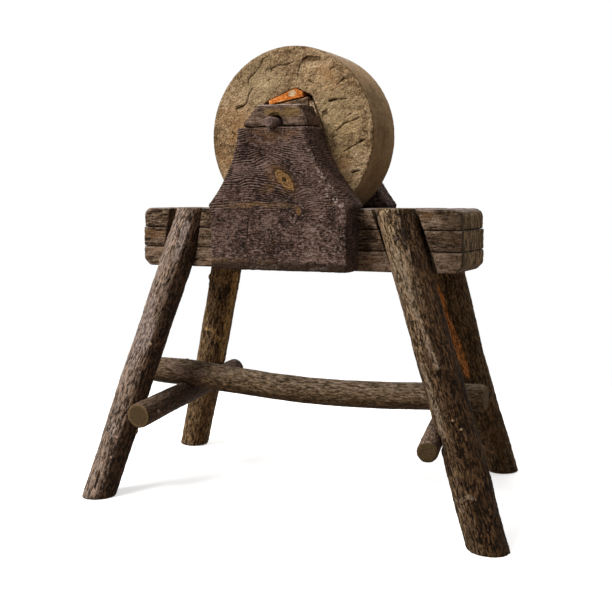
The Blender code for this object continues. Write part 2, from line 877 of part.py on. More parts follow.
def treenail_places():
    return (
        TREENAIL_END_DISTANCE - BEAM_LEFT_REACH,
        WELL_LEFT - TREENAIL_WELL_DISTANCE,
        WELL_RIGHT + TREENAIL_WELL_DISTANCE,
        BEAM_RIGHT_REACH - TREENAIL_END_DISTANCE,
    )


def build_treenails(parent):
    """Round oak pins that hold the planks together, flush with the beam's top."""
    holes = []
    for number, x in enumerate(treenail_places(), 1):
        y = TREENAIL_STAGGER * (-1) ** number
        low = Vector((x, y, BEAM_BOTTOM))
        high = Vector((x, y, STAND_HEIGHT))
        name = f"beam_treenail_{number}"
        pin = rod(name, low, high, TREENAIL_DIAMETER / 2, collection=PARTS)
        finish(pin, planed_wood(name), parent, high, rounded=True)
        overrun = Vector((0, 0, CUT_OVERRUN))
        radius = TREENAIL_DIAMETER / 2 + side_gap(ROUND_SIDES)
        holes.append(rod("hole_" + name, low - overrun, high + overrun, radius))
    return holes


def cap_middle(side):
    return side * (CHEEK_OUTER - CAP_SETBACK - CAP_DEPTH / 2)


def build_cap_dowels(parent):
    """Hidden dowels that keep each bearing cap on its cheek."""
    holes = {side: [] for side in SIDES}
    for side, depth_name in SIDES.items():
        for way, hand in ((-1, "left"), (1, "right")):
            x = AXLE_OFFSET + way * CAP_DOWEL_SPREAD
            low = Vector((x, cap_middle(side), CHEEK_TOP - CAP_DOWEL_IN_CHEEK))
            high = Vector((x, cap_middle(side), CHEEK_TOP + CAP_DOWEL_IN_CAP))
            name = f"cap_dowel_{depth_name}_{hand}"
            dowel = rod(name, low, high, CAP_DOWEL_DIAMETER / 2, collection=PARTS)
            finish(dowel, planed_wood(name), parent, low, rounded=True)
            gap = Vector((0, 0, FIT_GAP))
            radius = CAP_DOWEL_DIAMETER / 2 + side_gap(ROUND_SIDES)
            holes[side].append(rod("hole_" + name, low - gap, high + gap, radius))
    return holes


# Beam


def plank_outline(left, right, low, high, left_corners, right_corners):
    """Side view of a plank; corners hold (rounding, is_round) for its low and high corner."""
    outline = []
    low_left, high_left = left_corners
    low_right, high_right = right_corners
    outline += corner_points((1, 1), (right, high), high_right, 90)
    outline += corner_points((1, -1), (right, low), low_right, 0)
    outline += corner_points((-1, -1), (left, low), low_left, -90)
    outline += corner_points((-1, 1), (left, high), high_left, 180)
    return outline


def corner_points(signs, place, treatment, start_degrees):
    """Points of one corner, clockwise: square, rounded or cut off straight."""
    size, kind = treatment
    if kind == "square":
        return [place]
    arc = corner_arc((signs, place), size, start_degrees)
    if kind == "chamfer":
        return [arc[0], arc[-1]]
    return arc


SQUARE_CORNER = (0, "square")
ROUND_CORNER = (BEAM_TOP_ROUNDING, "round")
HEEL_CORNER = (BEAM_HEEL_CHAMFER, "chamfer")


def build_plank(name, outline, cutters, parent):
    obj = extruded_outline(name, outline, -BEAM_HALF, BEAM_HALF, PARTS)
    soften(obj, PLANK_ARRIS)
    cut_out(obj, cutters)
    origin = Vector((outline[0][0], 0, outline[0][1]))
    return finish(obj, planed_wood(name), parent, origin)


def build_beam(notches, holes, parent):
    pitch = PLANK_THICKNESS + FIT_GAP
    top_low = STAND_HEIGHT - PLANK_THICKNESS
    left = -BEAM_LEFT_REACH
    right = BEAM_RIGHT_REACH
    build_plank(
        "beam_top_plank_left",
        plank_outline(
            left + TOP_PLANK_SETBACK,
            WELL_LEFT,
            top_low,
            STAND_HEIGHT,
            (SQUARE_CORNER, ROUND_CORNER),
            (SQUARE_CORNER, SQUARE_CORNER),
        ),
        holes["left"] + notches["left"],
        parent,
    )
    build_plank(
        "beam_top_plank_right",
        plank_outline(
            WELL_RIGHT,
            right - TOP_PLANK_SETBACK,
            top_low,
            STAND_HEIGHT,
            (SQUARE_CORNER, SQUARE_CORNER),
            (SQUARE_CORNER, ROUND_CORNER),
        ),
        holes["right"] + notches["right"],
        parent,
    )
    both_notches = notches["left"] + notches["right"]
    both_holes = holes["left"] + holes["right"]
    build_plank(
        "beam_middle_plank",
        plank_outline(
            left,
            right,
            top_low - pitch,
            top_low - FIT_GAP,
            (SQUARE_CORNER, SQUARE_CORNER),
            (SQUARE_CORNER, SQUARE_CORNER),
        ),
        both_holes + holes["middle"] + both_notches,
        parent,
    )
    build_plank(
        "beam_bottom_plank",
        plank_outline(
            left,
            right,
            BEAM_BOTTOM,
            BEAM_BOTTOM + PLANK_THICKNESS,
            (HEEL_CORNER, SQUARE_CORNER),
            (HEEL_CORNER, SQUARE_CORNER),
        ),
        both_holes + both_notches,
        parent,
    )


# Cheeks and bearing caps


def flare(sign, bend):
    """One flank of a cheek from its neck down to its shoulder, as (x, z) points."""
    neck_x = AXLE_OFFSET + sign * CHEEK_NECK_HALF
    shoulder_x = sign * (CHEEK_FOOT_HALF + CHEEK_LIP)
    shoulder_z = STAND_HEIGHT + CHEEK_SHOULDER_RISE
    points = []
    for step in range(FLARE_STEPS + 1):
        share = step / FLARE_STEPS
        x = neck_x + (shoulder_x - neck_x) * share ** bend
        z = CHEEK_TOP + (shoulder_z - CHEEK_TOP) * share
        points.append((x, z))
    return points


def cheek_outline(side):
    """Bell-shaped front view, clockwise from the top of its right flank."""
    right = flare(1, CHEEK_RIGHT_BENDS[side])
    left = flare(-1, CHEEK_LEFT_BEND)
    bottom = STAND_HEIGHT - CHEEK_HANG
    foot = [
        (CHEEK_FOOT_HALF, STAND_HEIGHT - CHEEK_SHOULDER_RISE),
        (CHEEK_FOOT_HALF, bottom),
        (-CHEEK_FOOT_HALF, bottom),
        (-CHEEK_FOOT_HALF, STAND_HEIGHT - CHEEK_SHOULDER_RISE),
    ]
    return right + foot + list(reversed(left))


def worn_outline(side):
    """Outer face of a cheek, whose right flank has lost its arris."""
    outline = cheek_outline(side)
    flank = range(FLARE_STEPS + 1)
    return [
        (x - CHEEK_WORN_WIDTH, z) if number in flank else (x, z)
        for number, (x, z) in enumerate(outline)
    ]


def build_cheek(name, side, cutters, parent):
    """Thick bell-shaped board: its upper part laps over the beam's top edge."""
    sections = (
        (side * CHEEK_OUTER, worn_outline(side)),
        (side * (CHEEK_OUTER - CHEEK_WORN_DEPTH), cheek_outline(side)),
        (side * CHEEK_INNER, cheek_outline(side)),
    )
    obj = lofted(name, sections, PARTS)
    soften(obj, CHEEK_ARRIS)
    near, far = sorted((side * (BEAM_HALF + FIT_GAP), 0))
    reach = CHEEK_FOOT_HALF + CHEEK_LIP + CUT_OVERRUN
    low = STAND_HEIGHT - CHEEK_HANG - CUT_OVERRUN
    rebate = box(name + "_rebate", (-reach, near, low), (reach, far, STAND_HEIGHT + FIT_GAP))
    boolean(obj, rebate)
    cut_out(obj, cutters)
    origin = Vector((0, side * BEAM_HALF, STAND_HEIGHT))
    return finish(obj, cheek_wood(name), parent, origin)


def cap_outline():
    low = CHEEK_TOP + FIT_GAP
    shoulder = low + CAP_END_FACE
    high = low + CAP_HEIGHT
    left = AXLE_OFFSET - CAP_HALF_LENGTH
    right = AXLE_OFFSET + CAP_HALF_LENGTH
    return [
        (left, low),
        (left, shoulder),
        (left + CAP_LEFT_SLANT, high),
        (right - CAP_RIGHT_SLANT, high),
        (right, shoulder),
        (right, low),
    ]


def build_cap(name, side, cutters, parent):
    outer = side * (CHEEK_OUTER - CAP_SETBACK)
    near, far = sorted((outer, outer - side * CAP_DEPTH))
    obj = extruded_outline(name, cap_outline(), near, far, PARTS)
    soften(obj, CAP_ARRIS, 30.0, 2)
    cut_out(obj, cutters)
    origin = Vector((AXLE_OFFSET, cap_middle(side), CHEEK_TOP))
    return finish(obj, cheek_wood(name), parent, origin)


def axle_seat_cutter():
    """Round of the journal with its running gap, cut half by half in cheek and cap."""
    reach = Vector((0, CHEEK_OUTER + CUT_OVERRUN, 0))
    radius = circumscribed(AXLE_DIAMETER / 2 + RUNNING_GAP)
    return rod("axle_seat", AXLE_CENTRE - reach, AXLE_CENTRE + reach, radius, CUTTER_SIDES)


# Wheel: stone, hub, wedges and axle


def turned_square(half, clip, turn_degrees):
    """Square with clipped corners about the axle, turned in the wheel's plane."""
    turn = math.radians(turn_degrees)
    points = []
    for quarter in range(4):
        angle = turn + math.radians(90) * quarter
        for x, z in ((half, half - clip), (half - clip, half)):
            points.append(
                (
                    AXLE_CENTRE.x + x * math.cos(angle) - z * math.sin(angle),
                    AXLE_CENTRE.z + x * math.sin(angle) + z * math.cos(angle),
                )
            )
    return points


def stone_profile():
    """Half section of the stone: flat faces, rounded edges and a slightly crowned rim."""
    half = STONE_THICKNESS / 2
    rounding = STONE_EDGE_ROUNDING
    edge_radius = STONE_RADIUS - STONE_RIM_CROWN
    upper = [(0, half)]
    for step in range(ARC_STEPS):
        angle = math.radians(90 - 90 * step / (ARC_STEPS - 1))
        radius = edge_radius - rounding + rounding * math.cos(angle)
        upper.append((radius, half - rounding + rounding * math.sin(angle)))
    lower = [(radius, -along) for radius, along in reversed(upper)]
    return upper + [(STONE_RADIUS, 0)] + lower


def build_stone(parent):
    obj = turned("grinding_stone", stone_profile(), STONE_STEPS)
    centre = AXLE_CENTRE - Vector((0, 0, STONE_DROP))
    obj.data.transform(Matrix.Translation(centre))
    reach = STONE_THICKNESS / 2 + CUT_OVERRUN
    outline = turned_square(EYE_SIDE / 2, EYE_CORNER_CLIP, EYE_TURN_DEGREES)
    eye = extruded_outline("stone_eye", outline, -reach, reach)
    boolean(obj, eye)
    return finish(obj, sandstone("grinding_stone"), parent, AXLE_CENTRE, rounded=True)


def build_hub(parent):
    reach = STONE_THICKNESS / 2 + HUB_PROUD
    outline = turned_square(HUB_SIDE / 2, HUB_ARRIS, HUB_TURN_DEGREES)
    obj = extruded_outline("hub_block", outline, -reach, reach, PARTS)
    half = AXLE_SQUARE / 2 + FIT_GAP
    outline = turned_square(half, FIT_GAP, HUB_TURN_DEGREES)
    reach += CUT_OVERRUN
    boolean(obj, extruded_outline("axle_square_hole", outline, -reach, reach))
    return finish(obj, planed_wood("hub_block"), parent, AXLE_CENTRE)


def eye_height(x, normal_degrees, distance):
    """Height of one straight side of the eye over a place x along a flat of the hub."""
    angle = math.radians(normal_degrees)
    return (distance - FIT_GAP - x * math.cos(angle)) / math.sin(angle)


def wedge_section(thickness_share):
    """End view of a wedge: from a flat of the hub up to a flat and a clipped corner of the eye."""
    slant = EYE_TURN_DEGREES - HUB_TURN_DEGREES
    half = WEDGE_WIDTH / 2
    clip_distance = (EYE_SIDE - EYE_CORNER_CLIP) / math.sqrt(2)
    knee_along = EYE_SIDE / 2 - EYE_CORNER_CLIP - FIT_GAP * (math.sqrt(2) - 1)
    knee_high = EYE_SIDE / 2 - FIT_GAP
    knee = Matrix.Rotation(math.radians(slant), 2) @ Vector((knee_along, knee_high))
    crown = (
        (-half, eye_height(-half, 90 + slant, EYE_SIDE / 2)),
        (knee.x, knee.y),
        (half, eye_height(half, 45 + slant, clip_distance)),
    )
    low = HUB_SIDE / 2 + FIT_GAP
    upper = [(x, low + (high - low) * thickness_share) for x, high in crown]
    return [(-half, low)] + upper + [(half, low)]


def build_wedge(name, quarter, parent):
    """Wedge driven from the front: its rear end is thinner than its head."""
    turn = math.radians(HUB_TURN_DEGREES) - math.radians(90) * quarter
    front = -(STONE_THICKNESS / 2 + WEDGE_PROUD)
    rear = STONE_THICKNESS / 2
    sections = []
    for along, share in ((front, 1.0), (rear, WEDGE_LEAD_SHARE)):
        outline = [
            (
                AXLE_CENTRE.x + x * math.cos(turn) - z * math.sin(turn),
                AXLE_CENTRE.z + x * math.sin(turn) + z * math.cos(turn),
            )
            for x, z in wedge_section(share)
        ]
        sections.append((along, outline))
    obj = lofted(name, sections, PARTS)
    finish_material = fresh_wood(name) if quarter == 0 else planed_wood(name)
    return finish(obj, finish_material, parent, AXLE_CENTRE)


def build_axle(parent):
    """Wrought bar: a square where the hub grips it, round in the bearings, a tang behind."""
    front = AXLE_CENTRE - Vector((0, CHEEK_OUTER + AXLE_FRONT_PROUD, 0))
    shoulder = AXLE_CENTRE + Vector((0, ARM_INNER - FIT_GAP, 0))
    obj = rod("axle", front, shoulder, AXLE_DIAMETER / 2, ROUND_SIDES, collection=PARTS)
    soften(obj, AXLE_END_ROUNDING, 60.0)
    reach = STONE_THICKNESS / 2 + HUB_PROUD
    outline = turned_square(AXLE_SQUARE / 2, 2 * FIT_GAP, HUB_TURN_DEGREES)
    square = extruded_outline("axle_square", outline, -reach, reach)
    boolean(obj, square, "UNION")
    half = TANG_SQUARE / 2
    low = AXLE_CENTRE + Vector((-half, ARM_INNER - CUT_OVERRUN, -half))
    high = AXLE_CENTRE + Vector((half, ARM_OUTER + TANG_BEYOND_ARM, half))
    boolean(obj, box("axle_tang", low, high), "UNION")
    boolean(obj, key_slot_cutter())
    return finish(obj, rusty_iron("axle"), parent, AXLE_CENTRE, rounded=True)


# Crank


def key_slot_cutter():
    half_thickness = KEY_THICKNESS / 2 + FIT_GAP
    near = ARM_OUTER
    far = ARM_OUTER + KEY_WIDTH + 2 * FIT_GAP
    low = AXLE_CENTRE + Vector((-half_thickness, near, -TANG_SQUARE))
    high = AXLE_CENTRE + Vector((half_thickness, far, TANG_SQUARE))
    return box("key_slot", low, high)


def build_key(parent):
    """Tapered cotter through the tang that keeps the crank arm on."""
    top = AXLE_CENTRE.z + KEY_LENGTH * KEY_HEAD_RISE_SHARE
    bottom = top - KEY_LENGTH
    near = ARM_OUTER + FIT_GAP
    bm = bmesh.new()
    bmesh.ops.create_cube(bm, size=1.0)
    for vert in bm.verts:
        width = KEY_WIDTH if vert.co.z > 0 else KEY_NARROW_WIDTH
        vert.co.x = AXLE_CENTRE.x + vert.co.x * KEY_THICKNESS
        vert.co.y = near + (width if vert.co.y > 0 else 0)
        vert.co.z = top if vert.co.z > 0 else bottom
    obj = mesh_object("crank_key", bm, PARTS)
    return finish(obj, rusty_iron("crank_key"), parent, AXLE_CENTRE)


def arm_outline():
    """Flat bar with a large eye at the axle and a small one at the spindle."""
    lean = math.asin((CRANK_BOSS_RADIUS - CRANK_TIP_RADIUS) / CRANK_RADIUS)
    points = []
    for centre, radius, start, sweep in (
        (AXLE_CENTRE, CRANK_BOSS_RADIUS, math.pi + lean, -math.pi - 2 * lean),
        (GRIP_CENTRE, CRANK_TIP_RADIUS, -lean, -math.pi + 2 * lean),
    ):
        steps = 3 * ARC_STEPS
        for step in range(steps + 1):
            angle = start + sweep * step / steps
            points.append((centre.x + radius * math.cos(angle), centre.z + radius * math.sin(angle)))
    return points


def build_crank_arm(parent):
    obj = extruded_outline("crank_arm", arm_outline(), ARM_INNER, ARM_OUTER, PARTS)
    soften(obj, CRANK_ARRIS, 60.0)
    half = TANG_SQUARE / 2 + FIT_GAP
    low = AXLE_CENTRE + Vector((-half, ARM_INNER - CUT_OVERRUN, -half))
    high = AXLE_CENTRE + Vector((half, ARM_OUTER + CUT_OVERRUN, half))
    boolean(obj, box("tang_hole", low, high))
    start = GRIP_CENTRE + Vector((0, ARM_INNER - CUT_OVERRUN, 0))
    end = GRIP_CENTRE + Vector((0, ARM_OUTER + CUT_OVERRUN, 0))
    radius = circumscribed(SPINDLE_DIAMETER / 2 + FIT_GAP)
    boolean(obj, rod("spindle_hole", start, end, radius, CUTTER_SIDES))
    return finish(obj, rusty_iron("crank_arm"), parent, AXLE_CENTRE)


def build_spindle(parent):
    """Riveted through the arm's tip, with a collar behind the grip and a peened end."""
    shank = SPINDLE_DIAMETER / 2
    rivet = SPINDLE_RIVET_DIAMETER / 2
    collar = SPINDLE_COLLAR_DIAMETER / 2
    inner = ARM_INNER - FIT_GAP
    outer = ARM_OUTER + FIT_GAP
    washer_far = GRIP_OUTER + RUNNING_GAP + WASHER_THICKNESS + FIT_GAP
    end = washer_far + SPINDLE_RIVET_HEIGHT
    profile = (
        (0, end),
        (rivet * RIVET_TOP_SHARE, end),
        (rivet * RIVET_SEAT_SHARE, washer_far),
        (shank, washer_far),
        (shank, outer + SPINDLE_COLLAR_HEIGHT),
        (collar, outer + SPINDLE_COLLAR_HEIGHT),
        (collar, outer),
        (shank, outer),
        (shank, inner),
        (rivet, inner),
        (rivet * PEENED_END_SHARE, inner - SPINDLE_RIVET_HEIGHT),
        (0, inner - SPINDLE_RIVET_HEIGHT),
    )
    obj = turned("crank_spindle", profile)
    obj.data.transform(Matrix.Translation(GRIP_CENTRE))
    return finish(obj, rusty_iron("crank_spindle"), parent, GRIP_CENTRE, rounded=True)


def build_grip(parent):
    """Barrel-shaped wooden sleeve that turns on the spindle."""
    bore = circumscribed(SPINDLE_DIAMETER / 2 + GRIP_BORE_GAP, TURNED_STEPS)
    end_radius = GRIP_END_DIAMETER / 2
    swell = GRIP_MIDDLE_DIAMETER / 2 - end_radius
    profile = [(end_radius - GRIP_END_ROUNDING, GRIP_OUTER)]
    steps = 2 * ARC_STEPS
    start = GRIP_OUTER - GRIP_END_ROUNDING
    span = GRIP_LENGTH - 2 * GRIP_END_ROUNDING
    for step in range(steps + 1):
        share = step / steps
        profile.append((end_radius + swell * math.sin(math.pi * share), start - span * share))
    profile.append((end_radius - GRIP_END_ROUNDING, GRIP_INNER))
    profile.append((bore, GRIP_INNER))
    profile.append((bore, GRIP_OUTER))
    obj = turned("crank_grip", profile, closed=True)
    obj.data.transform(Matrix.Translation(GRIP_CENTRE))
    return finish(obj, planed_wood("crank_grip"), parent, GRIP_CENTRE, rounded=True)


def build_washer(parent):
    bore = circumscribed(SPINDLE_DIAMETER / 2 + FIT_GAP, TURNED_STEPS)
    near = GRIP_OUTER + RUNNING_GAP
    far = near + WASHER_THICKNESS
    rim = WASHER_DIAMETER / 2
    profile = ((bore, far), (rim, far), (rim, near), (bore, near))
    obj = turned("grip_washer", profile, closed=True)
    obj.data.transform(Matrix.Translation(GRIP_CENTRE))
    return finish(obj, rusty_iron("grip_washer"), parent, GRIP_CENTRE, rounded=True)


# Assembly


def centre_on_floor():
    """Move the whole stand so that the origin is under the middle of its extent."""
    bpy.context.view_layer.update()
    graph = bpy.context.evaluated_depsgraph_get()
    corners = []
    for obj in PARTS.objects:
        if obj.type == "MESH":
            solid = obj.evaluated_get(graph)
            corners += [solid.matrix_world @ Vector(corner) for corner in solid.bound_box]
    for axis in (0, 1):
        values = [corner[axis] for corner in corners]
        ROOT.location[axis] = -(min(values) + max(values)) / 2
    bpy.context.view_layer.update()


def build_stand(root):
    notches = {corner: notch_cutter(leg) for corner, leg in LEGS.items()}
    seats = {hand: bar_cutter(bar) for hand, bar in BARS.items()}
    treenail_holes = build_treenails(root)
    cheek_holes = drive_spikes(cheek_spike_places(), root)
    leg_holes = drive_spikes(leg_spike_places(), root)
    bar_holes = drive_spikes(bar_spike_places(), root)
    stretcher_holes = drive_spikes(stretcher_spike_places(), root)
    dowel_holes = build_cap_dowels(root)
    build_beam(
        {
            "left": [notches["front_left"], notches["rear_left"]],
            "right": [notches["front_right"], notches["rear_right"]],
        },
        {
            "left": treenail_holes[:2],
            "right": treenail_holes[2:],
            "middle": list(cheek_holes.values()) + list(leg_holes.values()),
        },
        root,
    )
    for corner, leg in LEGS.items():
        hand = corner.split("_")[1]
        holes = [leg_holes["leg_spike_" + corner], bar_holes["bar_spike_" + corner]]
        build_leg(leg, [seats[hand]] + holes, root)
    for hand, bar in BARS.items():
        ends = [bar_holes[f"bar_spike_{depth_name}_{hand}"] for depth_name in SIDES.values()]
        build_bar(bar, ends + [stretcher_holes["stretcher_spike_" + hand]], root)
    build_stretcher(list(seats.values()) + list(stretcher_holes.values()), root)
    journal = axle_seat_cutter()
    for side, depth_name in SIDES.items():
        spikes = [hole for name, hole in cheek_holes.items() if depth_name in name]
        build_cheek("cheek_" + depth_name, side, [journal] + spikes + dowel_holes[side], root)
        build_cap("bearing_cap_" + depth_name, side, [journal] + dowel_holes[side], root)


def build_wheel(root):
    wheel = make_empty("wheel_axis", root, AXLE_CENTRE, PARTS)
    build_axle(wheel)
    build_stone(wheel)
    build_hub(wheel)
    for quarter, place in enumerate(("top", "right", "bottom", "left")):
        build_wedge("hub_wedge_" + place, quarter, wheel)
    build_crank_arm(wheel)
    build_key(wheel)
    build_spindle(wheel)
    build_washer(wheel)
    grip = make_empty("grip_axis", wheel, GRIP_CENTRE - AXLE_CENTRE, PARTS)
    build_grip(grip)


def build():
    build_stand(ROOT)
    build_wheel(ROOT)
    centre_on_floor()


build()
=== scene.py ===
"""Hand-cranked grindstone: a sandstone wheel in a slotted plank beam on four log legs."""
import math

import bmesh
import bpy
import numpy as np
from mathutils import Matrix, Vector


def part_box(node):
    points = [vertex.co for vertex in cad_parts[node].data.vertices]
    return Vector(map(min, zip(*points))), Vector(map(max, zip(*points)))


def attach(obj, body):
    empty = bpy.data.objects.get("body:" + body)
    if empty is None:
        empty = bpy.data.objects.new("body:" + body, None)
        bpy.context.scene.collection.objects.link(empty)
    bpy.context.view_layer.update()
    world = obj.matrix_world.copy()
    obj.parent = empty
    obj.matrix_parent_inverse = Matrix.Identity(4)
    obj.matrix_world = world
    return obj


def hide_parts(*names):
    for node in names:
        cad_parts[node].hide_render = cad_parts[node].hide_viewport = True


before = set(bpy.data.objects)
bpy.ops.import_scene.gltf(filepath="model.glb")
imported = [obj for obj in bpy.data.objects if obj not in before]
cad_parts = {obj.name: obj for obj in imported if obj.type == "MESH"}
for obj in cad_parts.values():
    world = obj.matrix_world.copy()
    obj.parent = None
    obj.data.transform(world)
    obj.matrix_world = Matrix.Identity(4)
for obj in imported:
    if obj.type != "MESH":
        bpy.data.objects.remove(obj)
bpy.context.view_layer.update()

PICTURE_SIDE = 612
WELD = 0.00001
MILLIMETRES, HUNDREDTHS = 1000, 100


def middle(node):
    """The middle of a node's box."""
    low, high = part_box(node)
    return (Vector(low) + Vector(high)) / 2


STONE = middle("grinding_stone")
AXLE = Vector((middle("axle").x, STONE.y, middle("axle").z))
STONE_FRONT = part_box("grinding_stone")[0][1]
CHEEK_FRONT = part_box("cheek_front")[0][1]


# Node trees written as plain arithmetic

def paint(red, green, blue):
    return (red, green, blue, 1.0)


def tinted(colour, share, more=0.0):
    return tuple(part * share + more for part in colour)


def operator(operation, turned=False):
    """A method that joins a value to another operand, which comes first where it is turned."""
    def method(self, other):
        first, second = (other, self) if turned else (self, other)
        return self.joined(operation, first, second)
    return method


class Value:
    """One socket of a node tree, used in plain arithmetic."""

    def __init__(self, sheet, socket):
        self.sheet, self.socket = sheet, socket

    def joined(self, operation, first, second=None):
        return self.sheet.node("ShaderNodeMath", {"operation": operation}, {0: first, 1: second})

    __add__, __radd__ = operator("ADD"), operator("ADD", True)
    __sub__, __rsub__ = operator("SUBTRACT"), operator("SUBTRACT", True)
    __mul__, __rmul__ = operator("MULTIPLY"), operator("MULTIPLY", True)
    __truediv__, __rtruediv__ = operator("DIVIDE"), operator("DIVIDE", True)
    __pow__, __rpow__ = operator("POWER"), operator("POWER", True)
    larger, smaller = operator("MAXIMUM"), operator("MINIMUM")

    def __abs__(self):
        return self.joined("ABSOLUTE", self)

    def sine(self):
        return self.joined("SINE", self)

    def root(self):
        return self.joined("SQRT", self)

    def step(self, low, high):
        """0 below low and 1 above high, or the reverse where high is the lower one."""
        settings = {"interpolation_type": "SMOOTHSTEP"}
        if low < high:
            return self.sheet.node("ShaderNodeMapRange", settings,
                                   {"Value": self, "From Min": low, "From Max": high})
        return self.sheet.node("ShaderNodeMapRange", settings, {
            "Value": self, "From Min": high, "From Max": low, "To Min": 1.0, "To Max": 0.0})


ALONG, BESIDE, ACROSS = 0, 1, 2


class Sheet:
    """A node tree, in which every node comes from the one method, node."""

    def __init__(self, tree):
        self.tree = tree

    def node(self, kind, settings=None, inputs=None, out=0):
        """Makes a node and gives back one of its outputs, if it has any."""
        made = self.tree.nodes.new(kind)
        for name, value in (settings or {}).items():
            if name == "stops":
                self.set_stops(made.color_ramp, value)
            else:
                setattr(made, name, value)
        for key, value in (inputs or {}).items():
            if isinstance(value, Value):
                self.tree.links.new(value.socket, made.inputs[key])
            elif value is not None:
                made.inputs[key].default_value = value
        return Value(self, made.outputs[out]) if len(made.outputs) else None

    @staticmethod
    def set_stops(ramp, stops):
        while len(ramp.elements) < len(stops):
            ramp.elements.new(1.0)
        for element, (place, colour) in zip(ramp.elements, stops):
            element.position, element.color = place, colour

    def split(self, vector):
        parts = self.node("ShaderNodeSeparateXYZ", None, {0: vector})
        return tuple(Value(self, socket) for socket in parts.socket.node.outputs)

    def vector(self, x, y, z):
        return self.node("ShaderNodeCombineXYZ", None, {0: x, 1: y, 2: z})

    def vectors(self, operation, first, second=None, out=0):
        return self.node("ShaderNodeVectorMath", {"operation": operation},
                         {0: first, 1: second}, out)

    def dot(self, first, second):
        return self.vectors("DOT_PRODUCT", first, second, 1)

    def facing(self, axis):
        """How squarely a point faces along the grain, beside it or across it."""
        return abs(self.split(self.attribute("facing"))[axis])

    def noise(self, scale, detail=3.0, rough=0.55, bend=0.0):
        """Noise of one scale, or of three where scale is a stretch along, beside and across."""
        where = self.where
        if isinstance(scale, tuple):
            where, scale = self.vectors("MULTIPLY", where, scale), 1.0
        return self.node("ShaderNodeTexNoise", None, {
            "Vector": where, "Scale": scale, "Detail": detail, "Roughness": rough,
            "Distortion": bend})

    def mixed(self, share, first, second, blend="MIX"):
        """Two colours mixed. A plain colour is given as its red, green and blue."""
        first, second = (paint(*colour) if isinstance(colour, tuple) else colour
                         for colour in (first, second))
        return self.node("ShaderNodeMix", {"data_type": "RGBA", "blend_type": blend},
                         {0: share, 6: first, 7: second}, 2)


# Geometry trees that wear a solid

CARVING_INPUTS = {
    "Vector": ("Start", "Way", "Side", "Across", "Seed Shift"),
    "Float": ("Wear", "Split Depth", "Crack Width", "Crack Depth", "Hollow Depth", "Knob Height"),
    "Object": ("Cracks", "Hollows", "Knobs", "Stains"),
    "Material": ("Finish",),
}
# The way that the painted light and shade take as lit: up, left and to the front, near the key
# light.
LIT_SIDE = Vector((-0.72, -0.38, 0.58))
BITTEN_RIGHT, ROUGH_RIGHT, JOINT_SOFTNESS = (-0.02, 0.07), (-0.11, 0.06), 0.004


